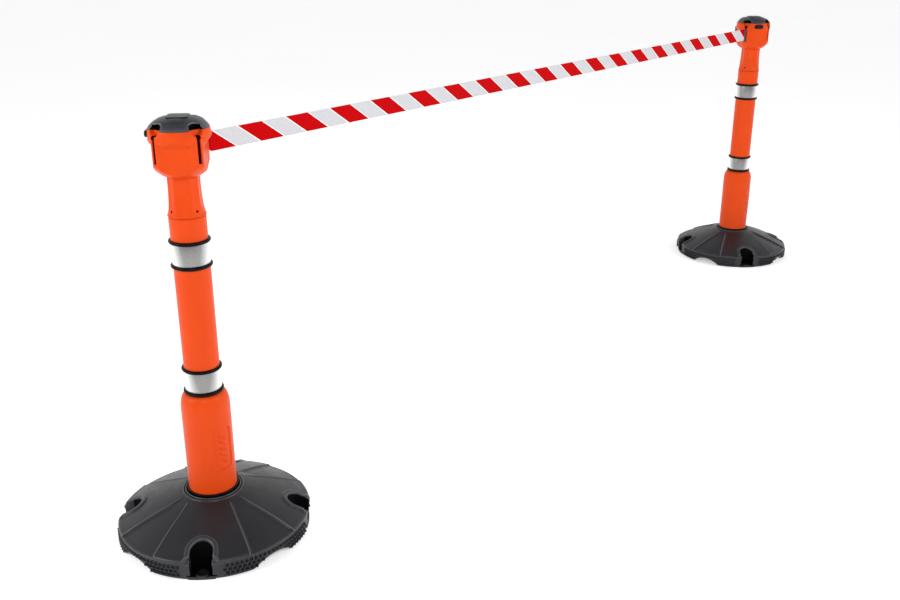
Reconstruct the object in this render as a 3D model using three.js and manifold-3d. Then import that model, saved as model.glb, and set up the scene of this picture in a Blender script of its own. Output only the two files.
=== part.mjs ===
// Belt barrier: two weighted posts three metres apart, joined by one level warning tape.
//
// Millimetres, +Z up. The origin is on the floor midway between the posts, and +X runs along the
// tape from unit a to unit b. Each unit is a base, a post, and a head that holds a spring reel of
// tape. The head of unit b is turned a quarter turn, so its tape leaves sideways while one of its
// receiver slots faces unit a and holds the clip of the other tape.

import * as THREE from 'three';
import { mergeVertices } from 'three/addons/utils/BufferGeometryUtils.js';
import Module from 'manifold-3d';

const wasm = await Module();
wasm.setup();

// ---------------------------------------------------------------- driving dimensions

const POST_SPACING = 3000;
const HEAD_TURN = { a: 0, b: Math.PI / 2 };
const SIDES = 24;                 // sides of the round pieces that fit into each other
const BASE_SIDES = 40;
const SMALL_SIDES = 12;           // sides of screws, pins and small holes
const GAP = 0.3;                  // clearance between pieces that touch
const CORNERS = [0, 1, 2, 3].map((i) => (i * Math.PI) / 2);
const FACES = CORNERS.map((azimuth) => azimuth + Math.PI / 4);

const BASE = {
  turn: (-1.2 * Math.PI) / 180,
  radius: 247.5, bandFoot: 7, bandTop: 39, footRadius: 240, socketRadius: 61.4, socketFloor: 20,
  dome: [[243.5, 46], [240, 52.5], [232, 56], [218, 62.5], [190, 75], [150, 91], [110, 105], [80, 114.5]],
  collarOuter: 78, collarTop: 120.5, collarEdge: 118, sealRadius: 66.8, sealSeat: 106,
  notchHalf: 27.5, notchEnd: 188, notchFloor: 8, mouthStart: 236, mouthHalf: 41.5,
  footArchRise: 24, footArchHalf: 60, footArchDepth: 72, eyeRadius: 17, eyePlace: 222, eyeFloor: 3,
};
const SEAL = { inner: 60.9, outer: 64.5, low: 106.3, high: 127 };
const BOLT = { headRadius: 10, headHeight: 7, shankRadius: 6, top: 44, recess: 13 };
const POST = {
  sleeveRadius: 60.6, sleeveWall: 3.6, shoulderFoot: 352, shoulderTop: 392,
  tubeRadius: 43.6, tubeWall: 3.6, tubeTop: 844.2, spigotRadius: 30, spigotWall: 3.5, spigotTop: 924,
};
const LABEL = { width: 54, low: 190, high: 303, corner: 12, depth: 1.5, azimuth: -Math.PI / 2 };
const RING = { heights: [397.4, 457.2, 723.8, 784.3], outer: 49.5, half: 4.5 };
const HEAD = {
  foot: 845, chin: 937, cavityFloor: 973, rim: 1051, cavityRadius: 47, wellRadius: 33, wellFloor: 948,
  faceDistance: 55, columnRadius: 72, visorRadius: 73, neckFoot: 44,
};
const SLOT = {
  low: 973.3, high: 1040, slit: 5, channelRadius: 5.8, channelPlace: 64,
  scoopRadius: 15, scoopBack: 57, mouthWidth: 12, guide: 58,
};
const CAP = {
  top: 1076.4, dome: [[30, 1076.4], [42, 1074.6], [50, 1071], [56, 1066.6], [60, 1063], [65, 1058]], edge: 69,
  notchRadius: 21, notchPlace: 74, pocketRadius: 44, pocketTop: 1066, bossRadius: 11, plugDepth: 5,
  screw: { radius: 2.6, hole: 3, length: 7, head: 6, headHole: 6.5, headHeight: 3, recess: 4 },
};
const PAD = { half: 34, corner: 14, thickness: 1.6 };
const TAPE = { width: 48, low: 980.4, thickness: 0.8, bend: 46, ease: 4 };
const REEL = {
  flangeRadius: 38.5, hubRadius: 12, spindleRadius: 8.5, bore: 6.3, flange: 2,
  lowerFlange: 976, tapeRoom: 52.2, foot: 953,
};
const SHAFT = { radius: 6, low: 930, high: 1063 };
const ROLL = { a: 31, b: 35.5 };  // a has most of its tape drawn out, b is full
const SPRING = { inner: 9.2, turns: 3.5, pitch: 5, strip: 1.2, low: 953, height: 12 };
const BUTTON = {
  azimuth: (3 * Math.PI) / 4, height: 1038.5, width: 37, tall: 15.5, front: 75.5, back: 52,
  flangeWidth: 43, flangeTall: 20, flangeFront: 55, springRadius: 4, springRise: 3, travel: 3.5,
  dishWidth: 49, dishTall: 26, dishFloor: 70.5,
  tongue: { tip: 43.5, width: 10, low: 1029.5, high: 1033.5 },
  rib: { inner: 37, outer: 41, width: 16, low: 1034.5 },
};
const CLIP = { barRadius: 4.5, barPlace: 77.9, pinRadius: 4.3, web: 2.6, low: 978, height: 52 };
const NECK_SCREW = {
  height: 860, radius: 2.5, hole: 2.8, inner: 27, outer: 39.5,
  headRadius: 3.2, headFoot: 36, counterbore: 35.5,
};

// ---------------------------------------------------------------- materials

const finish = (color, roughness, metalness = 0) =>
  new THREE.MeshStandardMaterial({ color, roughness, metalness });
const ORANGE = () => finish(0xff5f23, 0.45);
const BLACK_PLASTIC = () => finish(0x3c3e42, 0.5);
const BLACK_RUBBER = () => finish(0x3a3c40, 0.7);
const REFLECTIVE = () => finish(0xc8cdd0, 0.3);
const STEEL = () => finish(0xb4b8bc, 0.35, 1);
const SPRING_STEEL = () => finish(0x6d7a86, 0.3, 1);
const NYLON = () => finish(0xe6e4da, 0.55);
const TAPE_RED = () => finish(0xcc0000, 0.6);

// ---------------------------------------------------------------- geometry helpers

// Merges a geometry's vertices, drops collapsed triangles, and turns its faces outwards.
function closed(geometry) {
  geometry.deleteAttribute('normal');
  geometry.deleteAttribute('uv');
  const merged = mergeVertices(geometry, 1e-4);
  const at = merged.attributes.position;
  const corners = [0, 1, 2].map(() => new THREE.Vector3());
  const triangles = [];
  let volume = 0;
  for (let i = 0; i < merged.index.count; i += 3) {
    const triangle = [0, 1, 2].map((k) => merged.index.getX(i + k));
    if (new Set(triangle).size < 3) continue;
    corners.forEach((corner, k) => corner.fromBufferAttribute(at, triangle[k]));
    volume += corners[0].dot(corners[1].cross(corners[2]));
    triangles.push(triangle);
  }
  const facing = volume < 0 ? triangles.map(([p, q, r]) => [p, r, q]) : triangles;
  merged.setIndex(facing.flat());
  return merged;
}

function solid(geometry) {
  const tidy = closed(geometry);
  return new wasm.Manifold(new wasm.Mesh({
    numProp: 3,
    vertProperties: new Float32Array(tidy.attributes.position.array),
    triVerts: new Uint32Array(tidy.index.array),
  }));
}

function surface(manifold) {
  const mesh = manifold.getMesh();
  const geometry = new THREE.BufferGeometry();
  geometry.setAttribute('position', new THREE.BufferAttribute(new Float32Array(mesh.vertProperties), 3));
  geometry.setIndex(new THREE.BufferAttribute(new Uint32Array(mesh.triVerts), 1));
  return geometry;
}

// Cuts each of the given geometries out of a body.
function cut(body, tools) {
  return tools.reduce((left, tool) => left.subtract(solid(tool)), body);
}

// Turns a profile of [radius, height] points about the Z axis.
function turned(profile, sides = SIDES) {
  const points = profile.map(([radius, height]) => new THREE.Vector2(radius, height));
  return new THREE.LatheGeometry(points, sides).rotateX(Math.PI / 2);
}

// A turned ring: the profile closes on itself instead of on the axis.
function turnedRing(profile, sides = SIDES) {
  return turned([...profile, profile[0]], sides);
}

function tubeWall(inner, outer, low, high, sides = SIDES) {
  return turnedRing([[inner, low], [outer, low], [outer, high], [inner, high]], sides);
}

function upright(radius, low, high, sides = SMALL_SIDES) {
  return turned([[0, low], [radius, low], [radius, high], [0, high]], sides);
}

// A round bar along the radius at azimuth 0, from one distance to another.
function radialBar(radius, from, to, height, sides = SMALL_SIDES) {
  const bar = new THREE.CylinderGeometry(radius, radius, to - from, sides);
  return bar.rotateZ(-Math.PI / 2).translate((from + to) / 2, 0, height);
}

function block(xLow, xHigh, width, zLow, zHigh) {
  const box = new THREE.BoxGeometry(xHigh - xLow, width, zHigh - zLow);
  return box.translate((xLow + xHigh) / 2, 0, (zLow + zHigh) / 2);
}

// A flat outline pushed up the Z axis.
function raised(shape, low, height, curveSegments = 4) {
  const settings = { depth: height, bevelEnabled: false, curveSegments };
  return new THREE.ExtrudeGeometry(shape, settings).translate(0, 0, low);
}

// A flat outline (x across, y up) pushed outwards along the radius at azimuth 0.
function pushedOut(shape, from, to, height, curveSegments = 4) {
  const settings = { depth: to - from, bevelEnabled: false, curveSegments };
  const axes = new THREE.Matrix4().makeBasis(
    new THREE.Vector3(0, 1, 0), new THREE.Vector3(0, 0, 1), new THREE.Vector3(1, 0, 0),
  );
  return new THREE.ExtrudeGeometry(shape, settings).applyMatrix4(axes).translate(from, 0, height);
}

// A rectangle with round corners, centred on the origin.
function roundedRectangle(width, height, corner) {
  const x = width / 2 - corner;
  const y = height / 2 - corner;
  const shape = new THREE.Shape();
  shape.absarc(x, y, corner, 0, Math.PI / 2);
  shape.absarc(-x, y, corner, Math.PI / 2, Math.PI);
  shape.absarc(-x, -y, corner, Math.PI, 1.5 * Math.PI);
  shape.absarc(x, -y, corner, 1.5 * Math.PI, 2 * Math.PI);
  return shape;
}

function stadium(width, height) {
  return roundedRectangle(width, height, height / 2 - 0.01);
}

function around(azimuths, make) {
  return azimuths.map((azimuth) => make().rotateZ(azimuth));
}

// ---------------------------------------------------------------- base and its bolt

// The solid rubber foot: a dome with four open notches at the diagonals, lifting arches between
// them, a socket for the post, and a blind round recess in the floor of each notch.
function baseSolid() {
  const { radius, footRadius, socketRadius, socketFloor, sealRadius, sealSeat, collarTop } = BASE;
  const dome = solid(turned([
    [0, 0], [footRadius, 0], [radius, BASE.bandFoot], [radius, BASE.bandTop], ...BASE.dome,
    [BASE.collarOuter, BASE.collarEdge], [sealRadius + 3, collarTop], [0, collarTop],
  ], BASE_SIDES));
  const notchOutline = () => {
    const { notchHalf: half, notchEnd, mouthStart, mouthHalf } = BASE;
    const shape = new THREE.Shape();
    shape.absarc(notchEnd + half, 0, half, Math.PI / 2, 1.5 * Math.PI);
    shape.lineTo(mouthStart, -half);
    shape.lineTo(radius + 3, -mouthHalf);
    shape.lineTo(radius + 3, mouthHalf);
    shape.lineTo(mouthStart, half);
    return shape;
  };
  const archRadius = (BASE.footArchHalf ** 2 + BASE.footArchRise ** 2) / (2 * BASE.footArchRise);
  const arch = () => radialBar(
    archRadius, radius - BASE.footArchDepth, radius + 10, BASE.footArchRise - archRadius, 60,
  );
  const body = cut(dome, [
    upright(socketRadius, socketFloor, collarTop + 5, SIDES),
    upright(sealRadius, sealSeat, collarTop + 5, SIDES),
    upright(BOLT.recess, -5, BOLT.headHeight + 2),
    upright(BOLT.shankRadius + GAP, -5, socketFloor + 5),
    ...around(FACES, () => raised(notchOutline(), BASE.notchFloor, 120, 6)),
    ...around(FACES, () => upright(BASE.eyeRadius, BASE.eyeFloor, 20).translate(BASE.eyePlace, 0, 0)),
    ...around(CORNERS, arch),
  ]);
  return body.rotate([0, 0, THREE.MathUtils.radToDeg(BASE.turn)]);
}

// The ring that closes the gap between the base's collar and the foot of the sleeve.
function rubberSeal() {
  return closed(tubeWall(SEAL.inner, SEAL.outer, SEAL.low, SEAL.high));
}

function baseBolt() {
  const { headRadius, headHeight, shankRadius, top } = BOLT;
  const seat = headHeight + 2 - GAP;
  return closed(turned([
    [0, seat - headHeight], [headRadius, seat - headHeight], [headRadius, seat], [shankRadius, seat],
    [shankRadius, top], [0, top],
  ], SMALL_SIDES));
}

// ---------------------------------------------------------------- post

// One moulded piece: wide sleeve, rounded shoulder, tube, and the spigot that enters the head.
function postSolid() {
  const { sleeveRadius, sleeveWall, shoulderFoot, shoulderTop, tubeRadius, tubeWall } = POST;
  const foot = BASE.socketFloor + GAP;
  const shoulder = [0.25, 0.5, 0.75].map((part) => {
    const swing = (part * Math.PI) / 2;
    const rise = shoulderTop - shoulderFoot;
    return [
      tubeRadius + (sleeveRadius - tubeRadius) * Math.cos(swing),
      shoulderFoot + rise * Math.sin(swing),
    ];
  });
  const outside = [
    [sleeveRadius, foot], [sleeveRadius, shoulderFoot], ...shoulder, [tubeRadius, shoulderTop],
    [tubeRadius, POST.tubeTop], [POST.spigotRadius, POST.tubeTop], [POST.spigotRadius, POST.spigotTop],
  ];
  const inside = [
    [POST.spigotRadius - POST.spigotWall, POST.spigotTop],
    [POST.spigotRadius - POST.spigotWall, POST.tubeTop - 4],
    [tubeRadius - tubeWall, POST.tubeTop - 4], [tubeRadius - tubeWall, shoulderTop],
    [sleeveRadius - sleeveWall, shoulderFoot], [sleeveRadius - sleeveWall, foot],
  ];
  const body = solid(turnedRing([...outside, ...inside]));
  const panelRadius = sleeveRadius - LABEL.depth;
  const middle = (LABEL.low + LABEL.high) / 2;
  const panelOutline = roundedRectangle(LABEL.width, LABEL.high - LABEL.low, LABEL.corner);
  const panel = solid(pushedOut(panelOutline, 40, 80, middle, 3).rotateZ(LABEL.azimuth));
  const recess = panel.subtract(solid(upright(panelRadius, 0, 400, SIDES)));
  const screwHoles = around(CORNERS, () => radialBar(NECK_SCREW.hole, 20, 50, NECK_SCREW.height));
  return cut(body.subtract(recess), screwHoles);
}

// The plug that closes the foot of the sleeve and takes the bolt from below.
function postPlug() {
  const foot = BASE.socketFloor + GAP;
  const outer = POST.sleeveRadius - POST.sleeveWall - GAP;
  return closed(turnedRing([
    [BOLT.shankRadius + GAP, foot], [outer, foot], [outer, foot + 14], [BOLT.shankRadius + GAP, foot + 14],
  ]));
}

// A rubber ring, round outside and flat where it is stretched over the tube.
function rubberRing() {
  const inner = POST.tubeRadius + GAP;
  const { outer, half } = RING;
  const crown = outer - half;
  const arc = [-50, 0, 50].map((degrees) => {
    const swing = THREE.MathUtils.degToRad(degrees);
    return [crown + half * Math.cos(swing), half * Math.sin(swing)];
  });
  return closed(turnedRing([[inner, -half * 0.8], ...arc, [inner, half * 0.8]]));
}

function reflectiveBand(low, high) {
  const inner = POST.tubeRadius + GAP;
  return closed(tubeWall(inner, inner + 0.6, low, high));
}

// ---------------------------------------------------------------- head housing

// Distance from the axis to the housing's outside at an azimuth. A section runs from a square with
// cut corners (round = 0) to a circle of the corner distance (round = 1).
function sectionRadius(azimuth, { face, corner, round }) {
  const quarter = Math.PI / 2;
  const offCorner = Math.abs(azimuth - quarter * Math.round(azimuth / quarter));
  const offFace = quarter / 2 - offCorner;
  const sharpness = 40;
  const flat = face / Math.cos(offFace);
  const chamfer = corner / Math.cos(offCorner);
  const square = (flat ** -sharpness + chamfer ** -sharpness) ** (-1 / sharpness);
  return square * (1 - round) + corner * round;
}

const NECK_LEVELS = [
  { z: HEAD.foot, face: HEAD.neckFoot, corner: HEAD.neckFoot, round: 1 },
  { z: 851, face: 42.8, corner: 42.8, round: 1 },
  { z: 861, face: 40, corner: 41.6, round: 0.8 },
  { z: 876, face: 36.8, corner: 39.8, round: 0.4 },
  { z: 895, face: 34.6, corner: 38.5, round: 0 },
  { z: HEAD.chin, face: 34.4, corner: 38, round: 0 },
  { z: HEAD.chin + 1.5, face: 41, corner: 43, round: 0.3 },
  { z: 945, face: 48, corner: 51, round: 0 },
  { z: 953, face: 52.5, corner: 59, round: 0 },
  { z: 966, face: HEAD.faceDistance, corner: HEAD.columnRadius - 1, round: 0 },
  { z: HEAD.cavityFloor, face: HEAD.faceDistance, corner: HEAD.columnRadius, round: 0 },
];
const HOUSING_LEVELS = [
  { z: HEAD.cavityFloor + GAP, face: HEAD.faceDistance, corner: HEAD.columnRadius, round: 0 },
  { z: 1009, face: HEAD.faceDistance, corner: HEAD.columnRadius, round: 0 },
  { z: 1016, face: 59, corner: HEAD.columnRadius, round: 0.1 },
  { z: 1024, face: 66, corner: HEAD.columnRadius + 0.5, round: 0.7 },
  { z: 1034, face: HEAD.visorRadius, corner: HEAD.visorRadius, round: 1 },
  { z: 1043, face: HEAD.visorRadius, corner: HEAD.visorRadius - 0.4, round: 1 },
  { z: HEAD.rim, face: 69, corner: 69, round: 1 },
];

// A closed skin through the sections at the given levels.
function skin(levels) {
  const steps = 32;
  const positions = [];
  for (const level of levels) {
    for (let i = 0; i < steps; i += 1) {
      const azimuth = (2 * Math.PI * i) / steps;
      const radius = sectionRadius(azimuth, level);
      positions.push(radius * Math.cos(azimuth), radius * Math.sin(azimuth), level.z);
    }
  }
  const last = levels.length - 1;
  const footCentre = positions.length / 3;
  positions.push(0, 0, levels[0].z, 0, 0, levels[last].z);
  const triangles = [];
  for (let i = 0; i < steps; i += 1) {
    const next = (i + 1) % steps;
    for (let ring = 0; ring < last; ring += 1) {
      const below = ring * steps;
      const above = below + steps;
      triangles.push(below + i, below + next, above + next, below + i, above + next, above + i);
    }
    triangles.push(footCentre, next, i, footCentre + 1, last * steps + i, last * steps + next);
  }
  const geometry = new THREE.BufferGeometry();
  geometry.setAttribute('position', new THREE.Float32BufferAttribute(positions, 3));
  geometry.setIndex(triangles);
  return geometry;
}

// The lower part of the head: a fluted neck over the post's spigot, and the bowl with the spring well.
function neckSolid() {
  const { hole, headRadius, counterbore, height } = NECK_SCREW;
  return cut(solid(skin(NECK_LEVELS)), [
    upright(HEAD.wellRadius, HEAD.wellFloor, HEAD.cavityFloor + 5, SIDES),
    upright(SHAFT.radius + GAP, SHAFT.low - GAP, HEAD.wellFloor + 5, 16),
    upright(POST.spigotRadius + GAP, HEAD.foot - 5, POST.spigotTop + 2, SIDES),
    ...around(CORNERS, () => radialBar(hole, 20, counterbore + 5, height)),
    ...around(CORNERS, () => radialBar(headRadius + GAP, counterbore, 60, height)),
  ]);
}

// A receiver: a round channel behind a narrow slit, open at the top through a scooped lip.
function receiverTools() {
  const { low, high, slit, channelRadius, channelPlace, scoopRadius, scoopBack } = SLOT;
  const above = HEAD.rim + 10;
  return [
    upright(channelRadius, low - 5, above).translate(channelPlace, 0, 0),
    block(channelPlace, 90, slit, low - 5, above),
    radialBar(scoopRadius, scoopBack, 90, high + scoopRadius - 2, 16),
  ];
}

// The exit: a wide mouth for the parked clip and a narrow guide through to the reel.
function exitTools() {
  const { low, mouthWidth, guide, slit } = SLOT;
  return [
    block(guide, 90, mouthWidth, low - 5, TAPE.low + TAPE.width + 3),
    block(HEAD.cavityRadius - 5, guide + 1, slit, low - 5, TAPE.low + TAPE.width + 3),
  ];
}

// The upper part of the head: the slotted shell round the reel.
function housingSolid() {
  const above = HEAD.rim + 10;
  const inside = HEAD.cavityRadius - 8;
  const { flangeFront, height, azimuth, dishFloor } = BUTTON;
  const pocket = stadium(BUTTON.flangeWidth + 2, BUTTON.flangeTall + 2);
  const window = stadium(BUTTON.width + 1, BUTTON.tall + 1);
  const dish = stadium(BUTTON.dishWidth, BUTTON.dishTall);
  return cut(solid(skin(HOUSING_LEVELS)), [
    upright(HEAD.cavityRadius, HEAD.cavityFloor - 5, above, SIDES),
    ...CORNERS.slice(1).flatMap((corner) => receiverTools().map((tool) => tool.rotateZ(corner))),
    ...exitTools(),
    pushedOut(pocket, inside, flangeFront + GAP, height).rotateZ(azimuth),
    pushedOut(window, inside, 90, height).rotateZ(azimuth),
    pushedOut(dish, dishFloor, 90, height).rotateZ(azimuth),
  ]);
}

function neckScrew() {
  const { radius, headRadius, headFoot, inner, outer, height } = NECK_SCREW;
  const shank = solid(radialBar(radius, inner, headFoot + 1, height, 8));
  const head = solid(radialBar(headRadius, headFoot, outer, height, 8));
  const hexagon = radialBar(headRadius / 2, outer - 2, outer + 2, height, 6);
  return surface(cut(shank.add(head), [hexagon]));
}

// ---------------------------------------------------------------- cap

// The domed cover: a plug ring locates it in the housing, a boss steadies the shaft, and a rib
// behind the lock button carries its spring. Four round notches leave the receivers open above.
function capSolid() {
  const seat = HEAD.rim + GAP;
  const plug = HEAD.cavityRadius - 1;
  const { pocketRadius, pocketTop, top, bossRadius, plugDepth, screw } = CAP;
  const { rib, azimuth, flangeWidth } = BUTTON;
  const bore = SHAFT.radius + GAP;
  const dome = solid(turned([
    [0, top], ...CAP.dome, [CAP.edge, seat],
    [plug, seat], [plug, seat - plugDepth], [pocketRadius, seat - plugDepth], [pocketRadius, pocketTop],
    [bossRadius, pocketTop], [bossRadius, seat], [bore, seat], [bore, SHAFT.high + 1], [0, SHAFT.high + 1],
  ], 32));
  const springRib = solid(block(rib.inner, rib.outer, rib.width, rib.low, pocketTop + 1).rotateZ(azimuth));
  const notches = around(CORNERS, () =>
    upright(CAP.notchRadius, 1000, 1100, 16).translate(CAP.notchPlace, 0, 0));
  return cut(dome.add(springRib), [
    ...notches,
    block(rib.outer, plug + 5, flangeWidth, 1000, HEAD.rim + 2).rotateZ(azimuth),
    upright(screw.hole, 1000, 1100),
    upright(screw.headHole, top - screw.recess, 1100),
  ]);
}

// The plain badge plate on the cap, square to the housing's faces.
function capPad() {
  const outline = roundedRectangle(2 * PAD.half, 2 * PAD.half, PAD.corner);
  return closed(raised(outline, CAP.top + GAP, PAD.thickness).rotateZ(Math.PI / 4));
}

function capScrew() {
  const { radius, length, head, headHeight, recess } = CAP.screw;
  const seat = CAP.top - recess + GAP;
  return closed(turned([
    [0, seat - length], [radius, seat - length], [radius, seat], [head, seat], [head, seat + headHeight],
    [0, seat + headHeight],
  ], SMALL_SIDES));
}

// ---------------------------------------------------------------- reel and spring

function reel() {
  const { flangeRadius, hubRadius, spindleRadius, bore, flange, lowerFlange, tapeRoom, foot } = REEL;
  const upperFlange = lowerFlange + flange + tapeRoom;
  return closed(turnedRing([
    [bore, foot], [spindleRadius, foot], [spindleRadius, lowerFlange], [flangeRadius, lowerFlange],
    [flangeRadius, lowerFlange + flange], [hubRadius, lowerFlange + flange], [hubRadius, upperFlange],
    [flangeRadius, upperFlange], [flangeRadius, upperFlange + flange], [bore, upperFlange + flange],
  ], 20));
}

function springStrip() {
  const { inner, turns, pitch, strip } = SPRING;
  const stepsPerTurn = 12;
  const count = Math.round(turns * stepsPerTurn);
  const spiral = (offset) => Array.from({ length: count + 1 }, (_, i) => {
    const swing = (2 * Math.PI * i) / stepsPerTurn;
    const radius = inner + offset + (pitch * i) / stepsPerTurn;
    return new THREE.Vector2(radius * Math.cos(swing), radius * Math.sin(swing));
  });
  const outline = new THREE.Shape([...spiral(0), ...spiral(strip).reverse()]);
  return closed(raised(outline, SPRING.low, SPRING.height));
}

function springCup() {
  const outer = HEAD.wellRadius - GAP;
  const low = HEAD.wellFloor + GAP;
  const roof = REEL.lowerFlange - 2;
  return closed(turnedRing([
    [REEL.spindleRadius + 1, low], [outer, low], [outer, roof], [outer - 2, roof], [outer - 2, low + 2],
    [REEL.spindleRadius + 1, low + 2],
  ], SIDES));
}

// ---------------------------------------------------------------- lock button

// The oval push button, with a flange that keeps it in the housing and a brake tongue that meets
// the rim of the reel's upper flange when it is pressed.
function lockButton() {
  const { width, tall, front, back, flangeWidth, flangeTall, flangeFront, height } = BUTTON;
  const knob = solid(pushedOut(stadium(width, tall), back, front, height));
  const flange = solid(pushedOut(stadium(flangeWidth, flangeTall), back, flangeFront, height));
  const { tip, width: tongueWidth, low, high } = BUTTON.tongue;
  const tongue = solid(block(tip, back + 1, tongueWidth, low, high));
  return surface(knob.add(flange).add(tongue));
}

// The return spring at its pressed length, so that it clears the button through its travel.
function buttonSpring() {
  const { springRadius, springRise, back, height, travel, rib } = BUTTON;
  const low = rib.outer + GAP;
  const high = back - travel - GAP;
  const ring = turnedRing([
    [springRadius - 1, low], [springRadius, low], [springRadius, high], [springRadius - 1, high],
  ], SMALL_SIDES);
  return closed(ring.rotateY(Math.PI / 2).translate(0, 0, height + springRise));
}

// ---------------------------------------------------------------- tape and clips

// The clip on a tape's free end: a bar outside the slit, a web through it and a pin behind it.
function tapeClip() {
  const { barRadius, barPlace, pinRadius, web, low, height } = CLIP;
  const bar = solid(upright(barRadius, low, low + height).translate(barPlace, 0, 0));
  const pin = solid(upright(pinRadius, low, low + height).translate(SLOT.channelPlace, 0, 0));
  const plate = solid(block(SLOT.channelPlace, barPlace, web, low, low + height));
  return surface(bar.add(pin).add(plate));
}

// A strip along a plan route, as an upright band of the tape's width.
function strip(route) {
  const half = TAPE.thickness / 2;
  const side = (sign) => route.map((point, i) => {
    const before = route[Math.max(i - 1, 0)];
    const after = route[Math.min(i + 1, route.length - 1)];
    const along = after.clone().sub(before).normalize();
    return new THREE.Vector2(point.x - sign * half * along.y, point.y + sign * half * along.x);
  });
  const outline = new THREE.Shape([...side(1), ...side(-1).reverse()]);
  return raised(outline, TAPE.low, TAPE.width);
}

// Where the tape of unit a turns straight in the guide of its exit.
const TAPE_TURN = new THREE.Vector2(TAPE.bend - POST_SPACING / 2, 0);

// The part of the tape inside the head: from the roll to the guide.
function tapeLead() {
  const rollRadius = ROLL.a + 1.2;
  const swing = Math.acos(rollRadius / TAPE.bend);
  const leave = new THREE.Vector2(
    rollRadius * Math.cos(swing) - POST_SPACING / 2,
    rollRadius * Math.sin(swing),
  );
  const inward = leave.clone().sub(TAPE_TURN).normalize();
  const bendStart = TAPE_TURN.clone().addScaledVector(inward, TAPE.ease);
  const bendEnd = TAPE_TURN.clone().add(new THREE.Vector2(TAPE.ease - GAP, 0));
  return closed(strip([leave, bendStart, bendEnd]));
}

// The part in sight: level and straight across to the clip in unit b.
function tapeSpan() {
  const clipFace = POST_SPACING / 2 - CLIP.barPlace - CLIP.barRadius - GAP;
  const start = TAPE_TURN.clone().add(new THREE.Vector2(TAPE.ease, 0));
  return closed(strip([start, new THREE.Vector2(clipFace, 0)]));
}

// The short end of the parked tape that shows between the guide and its clip.
function tapeStub() {
  const from = new THREE.Vector2(REEL.flangeRadius + 5 * GAP, 0);
  const to = new THREE.Vector2(SLOT.channelPlace - CLIP.pinRadius - GAP, 0);
  return closed(strip([from, to]));
}

// ---------------------------------------------------------------- assembly

function piece(name, geometry, material) {
  geometry.computeVertexNormals();
  const mesh = new THREE.Mesh(geometry, material);
  mesh.name = name;
  return mesh;
}

const baseShape = surface(baseSolid());
const postShape = surface(postSolid());
const neckShape = surface(neckSolid());
const housingShape = surface(housingSolid());
const capShape = surface(capSolid());
const reelShape = reel();
const shaftShape = closed(upright(SHAFT.radius, SHAFT.low, SHAFT.high, 16));

function headOf(unit) {
  const head = new THREE.Group();
  head.rotation.z = HEAD_TURN[unit];
  head.add(piece(`head_neck_${unit}`, neckShape, ORANGE()));
  head.add(piece(`head_housing_${unit}`, housingShape, ORANGE()));
  head.add(piece(`top_cap_${unit}`, capShape, BLACK_PLASTIC()));
  head.add(piece(`cap_pad_${unit}`, capPad(), BLACK_PLASTIC()));
  head.add(piece(`cap_screw_${unit}`, capScrew(), STEEL()));
  head.add(piece(`reel_${unit}`, reelShape, NYLON()));
  head.add(piece(`reel_shaft_${unit}`, shaftShape, STEEL()));
  const roll = tubeWall(REEL.hubRadius + GAP, ROLL[unit], TAPE.low, TAPE.low + TAPE.width, SIDES);
  head.add(piece(`tape_roll_${unit}`, closed(roll), TAPE_RED()));
  head.add(piece(`mainspring_${unit}`, springStrip(), SPRING_STEEL()));
  head.add(piece(`spring_cup_${unit}`, springCup(), NYLON()));
  const button = piece(`lock_button_${unit}`, lockButton(), BLACK_PLASTIC());
  const returnSpring = piece(`button_spring_${unit}`, buttonSpring(), SPRING_STEEL());
  button.rotation.z = BUTTON.azimuth;
  returnSpring.rotation.z = BUTTON.azimuth;
  head.add(button, returnSpring);
  CORNERS.forEach((azimuth, i) => {
    const screw = piece(`neck_screw_${unit}_${i + 1}`, neckScrew(), STEEL());
    screw.rotation.z = azimuth;
    head.add(screw);
  });
  return head;
}

function unitOf(unit, place) {
  const group = new THREE.Group();
  group.position.x = place;
  group.add(piece(`base_${unit}`, baseShape, BLACK_RUBBER()));
  group.add(piece(`base_bolt_${unit}`, baseBolt(), STEEL()));
  group.add(piece(`rubber_seal_${unit}`, rubberSeal(), BLACK_RUBBER()));
  group.add(piece(`post_${unit}`, postShape, ORANGE()));
  group.add(piece(`post_plug_${unit}`, postPlug(), BLACK_PLASTIC()));
  RING.heights.forEach((height, i) => {
    const ring = piece(`rubber_ring_${unit}_${i + 1}`, rubberRing(), BLACK_RUBBER());
    ring.position.z = height;
    group.add(ring);
  });
  [0, 2].forEach((lower, i) => {
    const low = RING.heights[lower] + RING.half + GAP;
    const high = RING.heights[lower + 1] - RING.half - GAP;
    group.add(piece(`reflective_band_${unit}_${i + 1}`, reflectiveBand(low, high), REFLECTIVE()));
  });
  group.add(headOf(unit));
  return group;
}

const barrier = new THREE.Group();
barrier.add(unitOf('a', -POST_SPACING / 2));
barrier.add(unitOf('b', POST_SPACING / 2));
barrier.add(piece('tape_a', tapeSpan(), TAPE_RED()), piece('tape_lead_a', tapeLead(), TAPE_RED()));

// The clip of tape a sits in the receiver of unit b that faces unit a.
const hookedClip = piece('tape_clip_a', tapeClip(), BLACK_PLASTIC());
hookedClip.position.x = POST_SPACING / 2;
hookedClip.rotation.z = Math.PI;
barrier.add(hookedClip);

// The clip of tape b is parked in the exit of its own head.
const parked = new THREE.Group();
parked.position.x = POST_SPACING / 2;
parked.rotation.z = HEAD_TURN.b;
parked.add(piece('tape_clip_b', tapeClip(), BLACK_PLASTIC()), piece('tape_stub_b', tapeStub(), TAPE_RED()));
barrier.add(parked);

export default barrier;
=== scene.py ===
"""Looks for the belt barrier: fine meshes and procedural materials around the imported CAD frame.

Lengths here are millimetres until a mesh is made, when they become metres. Unit a stands at -X and
unit b at +X; the head of unit b is turned a quarter turn. A profile is a list of (radius, height).
"""

import math

import bmesh
import bpy
import numpy as np
from mathutils import Matrix, Vector


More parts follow.
